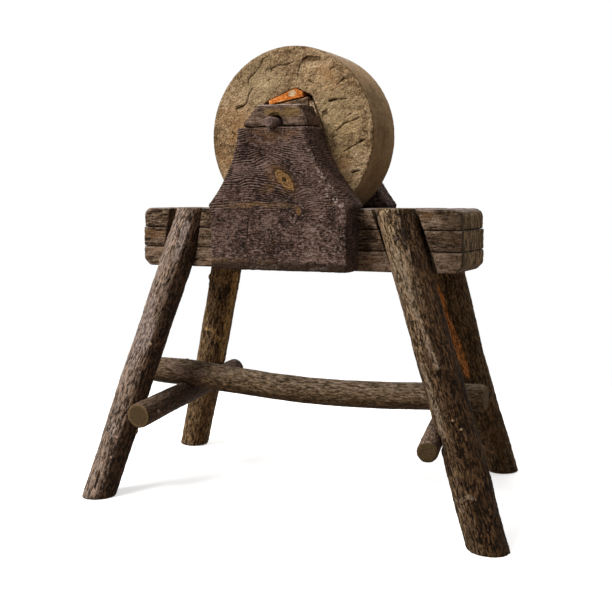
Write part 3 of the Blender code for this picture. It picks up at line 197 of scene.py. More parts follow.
class Carving(Sheet):
    """A geometry tree that wears the surface of a finely meshed solid."""

    def __init__(self, name):
        tree = bpy.data.node_groups.new(name, "GeometryNodeTree")
        super().__init__(tree)
        for way in ("INPUT", "OUTPUT"):
            tree.interface.new_socket("Geometry", in_out=way, socket_type="NodeSocketGeometry")
        for kind, labels in CARVING_INPUTS.items():
            for label in labels:
                tree.interface.new_socket(label, in_out="INPUT", socket_type=f"NodeSocket{kind}")
        self.given = self.node("NodeGroupInput").socket.node.outputs
        self.geometry = self.size("Geometry")
        self.keep_grain()
        self.keep_marks()

    def size(self, label):
        return Value(self, self.given[label])

    def place(self):
        return self.node("GeometryNodeInputPosition")

    def normal(self):
        return self.node("GeometryNodeInputNormal")

    def attribute(self, name, kind="FLOAT_VECTOR"):
        return self.node("GeometryNodeInputNamedAttribute", {"data_type": kind}, {"Name": name})

    def amount(self, name):
        return self.attribute(name, "FLOAT")

    def keep(self, name, field, kind="FLOAT"):
        self.geometry = self.node(
            "GeometryNodeStoreNamedAttribute", {"data_type": kind, "domain": "POINT"},
            {"Geometry": self.geometry, "Name": name, "Value": field})

    def blurred_place(self, rounds):
        return self.node("GeometryNodeBlurAttribute", {"data_type": "FLOAT_VECTOR"},
                         {"Value": self.place(), "Iterations": rounds})

    def turned(self, vector):
        """A vector seen along the grain, beside it and across it."""
        return self.vector(*(self.dot(vector, self.size(label))
                             for label in ("Way", "Side", "Across")))

    def keep_grain(self):
        """Stores the place and the facing along the grain, and how far it faces the key light, for
        the painted light and shade.
        """
        from_start = self.vectors("SUBTRACT", self.place(), self.size("Start"))
        self.keep("grain", self.turned(from_start), "FLOAT_VECTOR")
        self.keep("facing", self.turned(self.normal()), "FLOAT_VECTOR")
        self.keep("weather", self.dot(self.normal(), LIT_SIDE))
        drift = self.vectors("ADD", self.attribute("grain"), self.size("Seed Shift"))
        self.keep("drift", drift, "FLOAT_VECTOR")
        self.where = self.attribute("drift")

    def nearest(self, label):
        """The distance to the nearest point of a marks object, and that point's size."""
        marks = self.node("GeometryNodeObjectInfo", {"transform_space": "RELATIVE"},
                          {"Object": self.size(label)}, "Geometry")
        index = self.node("GeometryNodeSampleNearest", {"domain": "POINT"}, {0: marks})
        fields = {"FLOAT_VECTOR": self.place(), "FLOAT": self.amount("size")}
        spot, size = (
            self.node("GeometryNodeSampleIndex", {"data_type": kind, "domain": "POINT"},
                      {0: marks, "Value": field, "Index": index})
            for kind, field in fields.items())
        return self.vectors("DISTANCE", self.place(), spot, 1), size

    def ragged(self, scale, amount):
        return (self.noise(scale) - 0.5) * amount

    def keep_marks(self):
        """Stores where cracks, hollows, knobs and the stain marks lie on the unworn surface; some
        stain marks are painted light and shade.
        """
        away, size = self.nearest("Cracks")
        width = self.size("Crack Width") * size
        crack = (1.0 - (away + self.ragged(150.0, 0.0025)) / width).larger(0.0).smaller(1.0)
        self.keep("crack", crack)
        self.keep("gash", crack * size)
        for label, name, scale, amount, rim, core in (
                ("Hollows", "hollow", 80.0, 0.0080, 1.0, 0.72),
                ("Knobs", "knob", 90.0, 0.0020, 1.1, 0.30),
                ("Stains", "stain", 45.0, 0.0120, 1.2, 0.60)):
            away, reach = self.nearest(label)
            self.keep(name, ((away + self.ragged(scale, amount)) / reach).step(rim, core))

    def cut_marks(self):
        """Raises the knobs and cuts the cracks and the flat-bottomed hollows."""
        knob, gash, hollow = (self.amount(name) for name in ("knob", "gash", "hollow"))
        self.lift(knob * self.size("Knob Height") - gash * self.size("Crack Depth")
                  - hollow * self.size("Hollow Depth"))

    def keep_arris(self, rounds, depth):
        """Stores how near an outer edge a point lies, from 0 to 1."""
        pulled = self.vectors("SUBTRACT", self.place(), self.blurred_place(rounds))
        self.keep("arris", self.dot(pulled, self.normal()).step(depth * 0.15, depth))

    def soften(self, rounds):
        self.geometry = self.node("GeometryNodeSetPosition", None, {
            "Geometry": self.geometry, "Position": self.blurred_place(rounds)})

    def lift(self, height):
        """Moves the surface out along its normals."""
        move = self.node("ShaderNodeVectorMath", {"operation": "SCALE"},
                         {0: self.normal(), "Scale": height})
        self.geometry = self.node("GeometryNodeSetPosition", None,
                                  {"Geometry": self.geometry, "Offset": move})

    def cut_splits(self, stretch):
        """Drying cracks that run with the grain, here and there."""
        line = self.noise(stretch, 2.0, bend=0.5)
        split = abs(line - 0.5).step(0.016, 0.003)
        split = split * self.noise(9.0, 1.0).step(0.53, 0.62)
        along = self.facing(ALONG).step(0.8, 0.45)
        split = split * along * self.size("Split Depth").step(0.0, 0.001)
        self.keep("split", split)
        self.lift(split * self.size("Split Depth") * -1.0)

    def close(self):
        whole = self.node("GeometryNodeRealizeInstances", None, {"Geometry": self.geometry})
        smooth = self.node("GeometryNodeSetShadeSmooth", None, {"Geometry": whole})
        painted = self.node("GeometryNodeSetMaterial", None,
                            {"Geometry": smooth, "Material": self.size("Finish")})
        self.node("NodeGroupOutput", None, {0: painted})
        return self.tree


def log_carving():
    """Swells, bark ribs and pits, and drying cracks along the log."""
    carving = Carving("log_carving")
    carving.keep_arris(rounds=8, depth=0.0025)
    carving.soften(rounds=5)
    wear = carving.size("Wear")
    round_skin = carving.facing(ALONG).step(0.8, 0.45)
    swell = carving.noise((7.0, 13.0, 13.0), 1.5) - 0.5
    lumps = carving.noise((24.0, 60.0, 60.0), 2.0) - 0.5
    bark = carving.noise((60.0, 200.0, 200.0), 3.0, rough=0.6)
    carving.lift((swell * 2.6 + lumps * 1.3 + (bark - 0.5) * 2.0) * wear * round_skin)
    carving.cut_splits((4.0, 40.0, 40.0))
    carving.cut_marks()
    return carving.close()


def board_carving(name, arris_rounds, arris_depth, soft_rounds, bite, ridge_stretch,
                  right_share=0.0, joint_below=None):
    """Worn arrises, raised grain, shallow dips and the marks of long use, but flat joint faces."""
    carving = Carving(name)
    carving.keep_arris(arris_rounds, arris_depth)
    carving.soften(soft_rounds)
    wear = carving.size("Wear")
    arris = carving.amount("arris")
    right = carving.split(carving.attribute("grain"))[ALONG].step(*BITTEN_RIGHT)
    bites = carving.noise((34.0, 50.0, 60.0), 4.0, rough=0.65)
    bites = bites.step(0.42, 0.62) * (right * right_share + (1.0 - right_share))
    dish = carving.noise((8.0, 12.0, 12.0), 1.0).step(0.35, 0.75)
    ridges = carving.noise(ridge_stretch, 2.0, bend=0.3)
    if joint_below is not None:
        height = carving.split(carving.place())[2]
        joint = height.step(joint_below, joint_below - JOINT_SOFTNESS)
        level = carving.facing(ACROSS).step(0.3, 0.7)
        wear = wear * (1.0 - level * joint * 0.9)
    carving.lift((arris * bites * bite + dish * 0.5 + ridges.step(0.66, 0.36) * 0.55) * wear * -1.0)
    carving.cut_splits((5.0, 30.0, 44.0))
    carving.cut_marks()
    return carving.close()


def stone_carving():
    """Chipped arrises, flaked and pitted faces, cracks and spalled ledges round a smoother rim."""
    carving = Carving("stone_carving")
    carving.keep_arris(rounds=9, depth=0.0032)
    carving.soften(rounds=1)
    wear = carving.size("Wear")
    arris = carving.amount("arris")
    flat = carving.facing(BESIDE).step(0.45, 0.85)
    rough = carving.split(carving.attribute("grain"))[ALONG].step(*ROUGH_RIGHT) * 0.62 + 0.38
    bites = carving.noise(38.0, 4.0).step(0.46, 0.68)
    pits = carving.noise(30.0, 4.0, 0.6, 0.5).step(0.52, 0.64)
    dips = carving.noise(13.0, 2.0).step(0.34, 0.66)
    ledges = abs(carving.noise(15.0, 3.0, 0.55, 0.9) - 0.5).step(0.020, 0.002)
    ledges = ledges * carving.noise(11.0, 1.0).step(0.50, 0.58)
    grit = carving.noise(115.0, 3.0, 0.65).step(0.36, 0.64)
    carving.keep("pit", pits.larger(ledges))
    worn_face = pits * 0.75 + dips * 0.5 + ledges * 0.45 + grit * 0.40
    carving.lift((arris * bites * 0.55 + worn_face * rough * flat + (1.0 - flat) * grit * 0.10)
                 * wear * -1.0)
    carving.cut_marks()
    return carving.close()


def iron_carving():
    """Hammer marks and rust scale."""
    carving = Carving("iron_carving")
    carving.keep_arris(rounds=6, depth=0.0014)
    carving.soften(rounds=2)
    wear = carving.size("Wear")
    dents = carving.noise(45.0, 1.0).step(0.45, 0.75)
    scale = carving.noise(180.0, 2.0)
    carving.lift((dents * 0.8 + scale * 0.6) * wear * -1.0)
    return carving.close()


def placed(name, data):
    """A new object in the scene."""
    made = bpy.data.objects.new(name, data)
    bpy.context.scene.collection.objects.link(made)
    return made


FAR_AWAY = (((0.0, 0.0, -9.0, 1.0),),)
MARK_SPACING, KNOB_HEIGHT = 0.0012, 0.004


def marks_object(name, lines):
    """Marks as rows of close points; lines give the place and the size at their bends."""
    spots = []
    for line in lines:
        bends = [Vector(bend[:3]).to_4d() for bend in line]
        for bend, given in zip(bends, line):
            bend.w = given[3]
        spots.append(bends[0])
        for first, second in zip(bends, bends[1:]):
            count = max(1, math.ceil((second.xyz - first.xyz).length / MARK_SPACING))
            spots += [first.lerp(second, step / count) for step in range(1, count + 1)]
    mesh = bpy.data.meshes.new(name)
    mesh.from_pydata([spot.xyz[:] for spot in spots], [], [])
    sizes = mesh.attributes.new("size", "FLOAT", "POINT")
    sizes.data.foreach_set("value", [spot.w for spot in spots])
    return placed(name, mesh)


def merged_copy(node):
    """A copy of a node's mesh with its loose triangles joined."""
    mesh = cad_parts[node].data.copy()
    mesh.materials.clear()
    shape = bmesh.new()
    shape.from_mesh(mesh)
    bmesh.ops.remove_doubles(shape, verts=shape.verts, dist=WELD)
    shape.to_mesh(mesh)
    shape.free()
    return placed(f"{node}_rough", mesh)


def seed_shift(seed):
    """A place in the wood of its own for each piece."""
    return Vector((seed * 0.731, seed * 0.517 % 3, seed * 0.293 % 3))


def worn(node, body, tree, finish, grain, seed, voxel, wear, split_depth=0.0, cracks=(),
         hollows=(), knobs=(), stains_and_painted_light=(), crack_size=(0.003, 0.004), hollow_depth=0.003):
    """A node meshed finely, worn by a geometry tree and painted, in the node's place."""
    rough = merged_copy(node)
    rough.modifiers.new("fine", "REMESH").voxel_size = voxel
    start, way, side = grain
    marks = {label: marks_object(f"{node}_{label}", lines or FAR_AWAY) for label, lines in (
        ("Cracks", cracks), ("Hollows", hollows), ("Knobs", knobs), ("Stains", stains_and_painted_light))}
    given = {
        "Start": start, "Way": way, "Side": side, "Across": way.cross(side),
        "Seed Shift": seed_shift(seed), "Wear": wear, "Split Depth": split_depth,
        "Crack Width": crack_size[0], "Crack Depth": crack_size[1],
        "Hollow Depth": hollow_depth, "Knob Height": KNOB_HEIGHT, "Finish": finish, **marks,
    }
    carving = rough.modifiers.new("worn", "NODES")
    carving.node_group = tree
    for item in tree.interface.items_tree:
        if item.in_out == "INPUT" and item.name in given:
            carving[item.identifier] = given[item.name]
    seen = rough.evaluated_get(bpy.context.evaluated_depsgraph_get())
    mesh = bpy.data.meshes.new_from_object(seen)
    for spare in (rough, *marks.values()):
        bpy.data.objects.remove(spare)
    piece = placed(f"{node}_worn", mesh)
    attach(piece, body)
    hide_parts(node)


# Finishes

def five_tones(red, green, blue, dark=0.10):
    """Five tones round a middle one, from a near black to a pale and greyer one."""
    mid = Vector((red, green, blue))
    grey = Vector((1.0, 1.0, 1.0)) * ((red + green + blue) / 3)
    light = mid.lerp(grey, 0.3)
    return [tuple(tone) for tone in (
        mid * dark, mid * 0.45, mid, mid.lerp(light, 0.5) * 1.7, light * 3.2)]


def backdrop_seen(sheet):
    """1 for the camera's rays and for those in reflections and glass, and 0 for all others."""
    seen = sum(sheet.node("ShaderNodeLightPath", None, None, f"Is {kind} Ray")
               for kind in ("Camera", "Glossy", "Transmission"))
    return seen.smaller(1.0)


TONE_PLACES = (-0.15, -0.06, 0.0, 0.06, 0.16)


class Finish(Sheet):
    """A surface finish made of nodes, with the colour built up so far."""

    def __init__(self, name, worn_piece=True):
        self.material = bpy.data.materials.new(name)
        self.material.use_nodes = True
        super().__init__(self.material.node_tree)
        self.tree.nodes.clear()
        self.where = self.attribute("drift") if worn_piece else self.place()

    def attribute(self, name, out=1):
        return self.node("ShaderNodeAttribute", {"attribute_name": name}, None, out)

    def amount(self, name):
        return self.attribute(name, 2)

    def place(self):
        return self.node("ShaderNodeTexCoord", None, None, "Object")

    def tones(self, tone, colours, spread):
        """Five colours from the darkest to the lightest, laid out round a tone of a half."""
        places = [0.5 + away * spread for away in TONE_PLACES]
        stops = tuple(zip(places, (paint(*colour) for colour in colours)))
        return self.node("ShaderNodeValToRGB", {"stops": stops}, {0: tone})

    def lay(self, share, colour):
        """Lays a colour over the one so far, by that share."""
        self.colour = self.mixed(share, self.colour, colour)

    def shade(self, share, tint):
        """Darkens and tints the colour so far, by that share."""
        self.lay(share, self.mixed(1.0, self.colour, tint, "MULTIPLY"))

    def patch(self, x, z, patches, gate, share):
        """Soft oval patches: x, z, half width and half height in millimetres, and the colour."""
        for *sizes, colour in patches:
            patch_x, patch_z, half_x, half_z = (size / MILLIMETRES for size in sizes)
            away = (((x - patch_x) / half_x) ** 2.0 + ((z - patch_z) / half_z) ** 2.0).root()
            self.lay(away.step(1.25, 0.4) * gate * share, colour)

    def painted_shade_away(self, share, warm_dark, turn=0.34, low=0.0):
        """Painted shade: faces turned away from the key light are painted darker and warmer."""
        away = (self.amount("weather") - low).step(turn, turn - 0.5)
        self.shade(away * share, warm_dark)

    def gap_dirt_and_shade(self):
        """Near black in the cracks and the splits: dirt, and painted shade in their depths."""
        dark = self.amount("crack").larger(self.amount("split")).step(0.1, 0.6)
        self.lay(dark * 0.85, (0.008, 0.005, 0.003))

    def close(self, roughness, height, depth, metallic=0.0, shine=0.06):
        """Joins the colour, the roughness and the fine relief to the surface."""
        normal = self.node("ShaderNodeBump", None,
                           {"Height": height, "Distance": depth, "Strength": 1.0})
        surface = self.node("ShaderNodeBsdfPrincipled", None, {
            "Base Color": self.colour, "Roughness": roughness, "Metallic": metallic,
            "Specular IOR Level": shine, "Normal": normal})
        self.node("ShaderNodeOutputMaterial", None, {"Surface": surface})
        return self.material


def growth_lines(height, pitch):
    """Light and dark lines, one for each year, where height climbs through the wood."""
    return ((height * (2 * math.pi / pitch)).sine() * 0.5 + 0.5).step(0.15, 0.85)


CHEEK_LINE_PITCH, LOG_RING_PITCH, KNOT_RING_PITCH = 0.0054, 0.0044, 0.28
ALMOND_POWER, ALMOND_ROOT = 1.7, 0.59
CHEEK_TONES = five_tones(0.082, 0.050, 0.040)
PLANK_TONES = five_tones(0.098, 0.063, 0.039)
PLANK_END_TONES = five_tones(0.150, 0.102, 0.056)
STONE_TONES = ((0.085, 0.052, 0.026), (0.200, 0.132, 0.070), (0.310, 0.211, 0.115),
               (0.410, 0.292, 0.170), (0.580, 0.440, 0.280))
RIM_TONES = ((0.130, 0.078, 0.036), (0.210, 0.134, 0.068), (0.290, 0.188, 0.098),
             (0.350, 0.240, 0.135), (0.450, 0.330, 0.210))
CAP_TONES = five_tones(0.120, 0.077, 0.054)
HUB_TONES = five_tones(0.150, 0.090, 0.050)
WEDGE_TONES = ((0.110, 0.030, 0.006), (0.350, 0.095, 0.016), (0.520, 0.160, 0.028),
               (0.660, 0.220, 0.048), (0.800, 0.440, 0.190))
PALE_WEDGE_TONES = five_tones(0.290, 0.195, 0.115)
GRIP_TONES = five_tones(0.150, 0.095, 0.058)
IRON_TONES = ((0.020, 0.012, 0.010), (0.062, 0.038, 0.030), (0.110, 0.068, 0.056),
              (0.170, 0.108, 0.086), (0.300, 0.190, 0.130))
OCHRE, RUST_BROWN = (0.230, 0.135, 0.050), (0.160, 0.082, 0.034)
PALE_DUST, SAWN_END = (0.340, 0.275, 0.240), (0.130, 0.088, 0.044)
BEAM_RIGHT, _, BEAM_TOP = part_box("beam_top_plank_right")[1]

# Where a finish fades in, from the first place to the second
CHEEK_LOW, CHEEK_FOOT = (-0.185, -0.245), (-0.338, -0.352)
CHEEK_PLAIN_RIGHT, CHEEK_COARSE_RIGHT = (0.02, 0.12), (-0.06, 0.10)
CHEEK_CHIPPED_RIGHT = (0.02, 0.08)
LIT_LOWER_PLANKS = (BEAM_TOP - 0.098, BEAM_TOP - 0.108)
BLEACH_AND_SHEEN_TOP, BLEACH_AND_SHEEN_FADE_RIGHT = (BEAM_TOP - 0.016, BEAM_TOP - 0.006), (0.05, 0.30)
PLANK_JOINT, DARK_END_FRONT_STRIP = (0.0232, 0.0252), (-0.078, -0.090)
DARK_RIGHT_CORNER = (BEAM_RIGHT - 0.075, BEAM_RIGHT - 0.015)
SHADED_LOG_FOOT, LOG_END_RIM = (0.62, 0.34), (0.022, 0.029)
STONE_DARK_PITS_RIGHT, STONE_PALE_TOP = (-0.14, 0.02), (0.13, 0.21)


def knot_parts(x, z, knots):
    """For each knot its almond-shaped distance, 1 at the rim, and a push that bends the lines."""
    for *sizes, lean, strength in knots:
        knot_x, knot_z, half_x, half_z = (size / MILLIMETRES for size in sizes)
        away_x, away_z = x - knot_x, z - knot_z
        turned_x = away_x * math.cos(lean) + away_z * math.sin(lean)
        turned_z = away_z * math.cos(lean) - away_x * math.sin(lean)
        almond = (abs(turned_x / half_x) ** ALMOND_POWER
                  + abs(turned_z / half_z) ** ALMOND_POWER) ** ALMOND_ROOT
        pull = 1.0 / (almond * almond * almond * 0.35 + 1.0)
        yield almond, away_z * pull * 0.85, strength


def cheek_finish(name, knots, ochre_patches):
    """Purple-brown weathered wood with wavy growth lines, knots and pale chipped arrises, and
    painted shade away from the key light.
    """
    finish = Finish(name)
    x, _, z = finish.split(finish.attribute("grain"))
    waves = finish.noise((6.5, 6.0, 12.0), 2.0) - 0.5
    ripple = finish.noise((30.0, 30.0, 60.0), 1.5) - 0.5
    height = z + waves * 0.044 + ripple * 0.006
    knot_mask, knot_ring, knot_eye, rings, halo = 0.0, 0.0, 0.0, 0.0, 0.0
    for almond, push, strength in knot_parts(x, z, knots):
        height = height - push
        wobble = almond + (finish.noise(90.0, 3.0) - 0.5) * 0.85
        knot_mask = (wobble.step(1.10, 0.90) * strength).larger(knot_mask)
        knot_ring = (wobble.step(1.30, 1.12) * strength).larger(knot_ring)
        knot_eye = wobble.step(0.34, 0.20).larger(knot_eye)
        rings = (growth_lines(wobble, KNOT_RING_PITCH) * wobble.step(1.08, 0.95)).larger(rings)
        halo = (wobble.step(1.9, 1.0) * strength).larger(halo)
    lines = growth_lines(height, CHEEK_LINE_PITCH)
    low = z.step(*CHEEK_LOW)
    fade = finish.noise((9.0, 9.0, 15.0), 2.0).step(0.34, 0.56)
    fade = fade * (1.0 - low * 0.75) * (1.0 - x.step(*CHEEK_PLAIN_RIGHT) * 0.45)
    strands = finish.noise((75.0, 170.0, 240.0), 3.0, rough=0.7)
    speck = finish.noise(215.0, 3.0, 0.7)
    blotch = finish.noise(17.0, 4.0, 0.6)
    tone = (blotch * 0.28 + strands * 0.34 + speck * 0.38 + (lines - 0.5) * fade * 0.12)
    finish.colour = finish.tones(tone, CHEEK_TONES, 0.55)
    ochre_noise = finish.noise((24.0, 24.0, 70.0), 4.0)
    gate = ochre_noise.step(0.40, 0.58) * (speck.step(0.36, 0.60) * 0.6 + 0.4)
    tint = ochre_noise.step(0.60, 0.70) * 0.25
    finish.lay(tint, RUST_BROWN)
    finish.patch(x, z, ochre_patches, gate, 0.60)
    finish.lay(halo * gate * 0.7, RUST_BROWN)
    fleck = finish.noise((140.0, 160.0, 200.0), 2.0, rough=0.7)
    coarse = (x.step(*CHEEK_COARSE_RIGHT) * 0.6 + low * 0.5).smaller(1.0)
    finish.lay(fleck.step(0.58, 0.66) * coarse * 0.6, PALE_DUST)
    chips = finish.amount("arris") * finish.noise(120.0, 3.0, 0.7).step(0.48, 0.56)
    chips = (chips * (x.step(*CHEEK_CHIPPED_RIGHT) * 0.6 + 0.4)).larger(
        finish.amount("hollow") * finish.noise(150.0, 3.0, 0.7).step(0.47, 0.54))
    finish.lay(chips * (speck.step(0.47, 0.55) * 0.85 + 0.15), (0.480, 0.385, 0.330))
    on_face = finish.facing(BESIDE).step(0.5, 0.85)
    finish.lay(knot_ring * on_face * 0.8, (0.022, 0.012, 0.008))
    knot_paint = finish.mixed(rings, (0.120, 0.064, 0.026), (0.370, 0.215, 0.085))
    knot_paint = finish.mixed(knot_eye * 0.9, knot_paint, (0.018, 0.009, 0.005))
    knot_paint = finish.mixed(0.15, knot_paint, finish.colour)
    finish.lay(on_face * knot_mask, knot_paint)
    foot = z.step(*CHEEK_FOOT) * on_face * (0.4 + blotch * 0.8)
    finish.lay(foot, (0.026, 0.016, 0.010))
    # Painted shade on the faces turned away from the key light.
    finish.painted_shade_away(0.6, (0.50, 0.40, 0.33))
    finish.gap_dirt_and_shade()
    relief = speck * 0.9 + strands * 0.5 + lines * fade * 0.45 - knot_eye * 0.4
    return finish.close(0.62 + speck * 0.4, relief, depth=0.0042)


def plank_finish(name):
    """Brown sawn planks: dirty faces, paler worn edges, a bleached top with a painted sky sheen,
    painted light on the lower planks and painted shade away from the key light.
    """
    finish = Finish(name)
    _, y, z = finish.split(finish.attribute("grain"))
    facing_x, _, facing_z = finish.split(finish.attribute("facing"))
    strands = finish.noise((36.0, 130.0, 240.0), 4.0, rough=0.7)
    speck = finish.noise(200.0, 3.0, 0.7)
    blotch = finish.noise((15.0, 20.0, 30.0), 4.0, rough=0.65)
    place_x, _, place_z = finish.split(finish.place())
    # Painted light: the lower planks are painted a little lighter.
    lit_lower = place_z.step(*LIT_LOWER_PLANKS)
    tone = blotch * 0.36 + strands * 0.38 + speck * 0.26 + lit_lower * 0.05
    finish.colour = finish.tones(tone, PLANK_TONES, 0.50)
    rust = finish.noise((10.0, 24.0, 40.0), 4.0).step(0.55, 0.68)
    finish.lay(rust * 0.5, RUST_BROWN)
    # The top faces: bleached, with a painted pale bluish sheen of the sky, less of it towards the
    # right end.
    up = place_z.step(*BLEACH_AND_SHEEN_TOP)
    bleach_and_sheen = facing_z.step(0.35, 0.85) * (0.30 + strands * 1.0) * up
    bleach_and_sheen = bleach_and_sheen * (1.0 - place_x.step(*BLEACH_AND_SHEEN_FADE_RIGHT) * 0.50)
    finish.lay(bleach_and_sheen.smaller(0.92), (0.250, 0.212, 0.215))
    ends = abs(facing_x).step(0.6, 0.9)
    rough_end = finish.noise((110.0, 75.0, 26.0), 4.0, rough=0.7)
    end_paint = finish.tones(rough_end * 0.6 + speck * 0.4, PLANK_END_TONES, 0.7)
    finish.lay(ends, end_paint)
    joint = abs(z).step(*PLANK_JOINT) * (1.0 - up)
    # The ends are painted dark along their front strip; the joints are dark lines.
    finish.lay((ends * y.step(*DARK_END_FRONT_STRIP) * 0.7).larger(joint * 0.85), (0.012, 0.008, 0.005))
    corner = place_x.step(*DARK_RIGHT_CORNER)
    corner = corner * blotch.step(0.36, 0.56) * (1.0 - ends) * (1.0 - up)
    finish.lay(corner * 0.75, (0.030, 0.019, 0.010))
    finish.lay(finish.amount("stain") * speck.step(0.36, 0.56), (0.420, 0.330, 0.190))
    chips = finish.amount("arris") * finish.noise(85.0, 3.0, 0.7).step(0.50, 0.60)
    finish.lay(chips * 0.6 * (1.0 - ends * 0.6), (0.290, 0.220, 0.170))
    # Painted shade on the faces turned away from the key light.
    finish.painted_shade_away(0.35, (0.85, 0.72, 0.55))
    finish.gap_dirt_and_shade()
    relief = strands + speck * 0.6 + rough_end * ends
    return finish.close(0.60 + strands * 0.4, relief, depth=0.0024)


def log_finish(name, middle_tone, foot_shade=0.0, orange_share=0.2, painted_shade_share=0.9, painted_shade_turn=0.34,
               spread=0.42, flecks=0.75, bleach_and_lit_side=0.0, stain=(0.330, 0.140, 0.045), depth=0.0080):
    """A barked log: ribbed rough skin with pale flecks, warmer bare streaks and ringed ends;
    painted light on the lit side and in some streaks, painted shade away from the key light and
    towards the foot.
    """
    finish = Finish(name)
    _, beside, across = finish.split(finish.attribute("grain"))
    end = finish.facing(ALONG).step(0.55, 0.9)
    ribs = finish.noise((44.0, 190.0, 190.0), 3.0, rough=0.65, bend=0.3)
    speck = finish.noise((95.0, 240.0, 240.0), 3.0, rough=0.7)
    patches = finish.noise((9.0, 28.0, 28.0), 3.0)
    tone = patches * 0.10 + ribs * 0.46 + speck * 0.44
    finish.colour = finish.tones(tone, five_tones(*middle_tone, dark=0.24), spread)
    orange = finish.noise((4.0, 20.0, 20.0), 4.0).step(0.56, 0.68)
    finish.lay(orange * orange_share, RUST_BROWN)
    # The lit side is paler: bleaching, and painted light.
    if bleach_and_lit_side:
        lit_side = finish.amount("weather").step(0.35, 0.80) * ribs.step(0.40, 0.56)
        finish.lay(lit_side * bleach_and_lit_side, PALE_DUST)
    # Painted shade: the log is darker towards its foot.
    low = finish.split(finish.place())[2].step(*SHADED_LOG_FOOT) * foot_shade
    finish.shade(low * 0.8, (0.42, 0.36, 0.30))
    fleck = finish.noise((52.0, 200.0, 200.0), 2.0, rough=0.6)
    here = finish.noise((12.0, 24.0, 24.0), 1.0).step(0.32, 0.54)
    pale = tinted(middle_tone, 3.6, 0.03)
    finish.lay(fleck.step(0.53, 0.575) * here * flecks, pale)
    # Painted shade on the faces turned away from the key light, reaching further round near the
    # foot.
    finish.painted_shade_away(painted_shade_share, (0.20, 0.135, 0.085), painted_shade_turn, low * 0.38)
    # The stain marks: stains, and on some legs painted light along a lit band or over a cast
    # shadow.
    stain_streak_and_light = finish.amount("stain") * ribs.step(0.37, 0.48)
    finish.lay(stain_streak_and_light, finish.mixed(speck.step(0.42, 0.58), tinted(stain, 0.35), stain))
    finish.lay(finish.amount("knob").step(0.3, 0.8) * 0.7, pale)
    radius = (beside * beside + across * across).root()
    rings = growth_lines(radius + finish.noise(30.0, 2.0) * 0.012, LOG_RING_PITCH)
    cut_paint = finish.mixed(rings * 0.35 + speck.step(0.3, 0.7) * 0.65,
                             tinted(SAWN_END, 0.45), SAWN_END)
    rim = radius.step(*LOG_END_RIM)
    cut_paint = finish.mixed(rim * 0.6, cut_paint, tinted(SAWN_END, 1.7))
    finish.lay(end, cut_paint)
    finish.gap_dirt_and_shade()
    return finish.close(0.58 + speck * 0.4, ribs * 1.0 + speck * 0.7, depth)


# Patches of the stone's own colours; the two pale ones just right of the cheek, at 105 and 155 mm,
# are painted light where the cheek's shadow falls.
STONE_PATCHES_AND_LIGHT = (
    (-160, -40, 70, 110, (0.430, 0.235, 0.105)),
    (-90, 120, 80, 70, (0.265, 0.205, 0.112)),
    (75, 160, 50, 30, (0.560, 0.390, 0.240)),
    (105, 110, 70, 40, (0.460, 0.250, 0.110)),
    (130, 40, 60, 65, (0.330, 0.255, 0.130)),
    (125, -110, 50, 60, (0.430, 0.245, 0.105)),
    (105, -20, 40, 90, (0.520, 0.380, 0.210)),
    (-60, 85, 50, 40, (0.480, 0.360, 0.210)),
    (-60, 120, 50, 30, (0.620, 0.470, 0.280)),
    (62, 96, 55, 26, (0.600, 0.450, 0.260)),
    (155, -26, 40, 60, (0.620, 0.440, 0.230)),
)


def sandstone_finish(name):
    """Ochre sandstone: stained rough faces with pits and scores, and a smooth browner rim; painted
    shade in the pits, cracks and under the ledges, and painted light in two pale patches right of
    the cheek.
    """
    finish = Finish(name)
    x, _, z = finish.split(finish.attribute("grain"))
    rim = finish.facing(BESIDE).step(0.75, 0.40)
    blotch = finish.noise(9.0, 4.0, 0.6)
    grit = finish.noise(200.0, 3.0, 0.7)
    sand = finish.noise(80.0, 3.0, 0.6)
    tone = blotch * 0.26 + sand * 0.28 + grit * 0.46
    finish.colour = finish.tones(tone, STONE_TONES, 0.62)
    gate = finish.noise(22.0, 4.0, 0.6).step(0.36, 0.58)
    finish.patch(x, z, STONE_PATCHES_AND_LIGHT, gate * (grit.step(0.3, 0.7) * 0.5 + 0.5), 0.65)
    # The pits are darker towards the right: dirt, and painted shade in their hollows.
    pit_dirt_and_shade = finish.amount("pit") * x.step(*STONE_DARK_PITS_RIGHT)
    finish.lay(pit_dirt_and_shade * 0.45, (0.130, 0.082, 0.038))
    around = finish.tones(blotch * 0.45 + sand * 0.25 + grit * 0.30, RIM_TONES, 1.1)
    pale = finish.mixed(sand.step(0.35, 0.65), (0.280, 0.205, 0.170), (0.440, 0.350, 0.310))
    around = finish.mixed(z.step(*STONE_PALE_TOP) * 0.85, around, pale)
    finish.lay(rim, around)
    chips = finish.amount("arris") * finish.noise(60.0, 3.0).step(0.50, 0.62)
    finish.lay(chips * 0.35, (0.480, 0.340, 0.190))
    finish.lay(finish.amount("hollow") * 0.45, (0.520, 0.370, 0.220))
    # Painted shade under the spalled ledges.
    finish.lay(finish.amount("stain") * 0.75, (0.105, 0.064, 0.030))
    # The cracks dark: dirt, and painted shade in their depths.
    finish.lay(finish.amount("crack").step(0.10, 0.60) * 0.9, (0.045, 0.026, 0.012))
    relief = (grit * 0.8 + sand * 1.1) * (1.0 - rim * 0.75)
    return finish.close(0.78 + grit * 0.2, relief, depth=0.0075, shine=0.04)


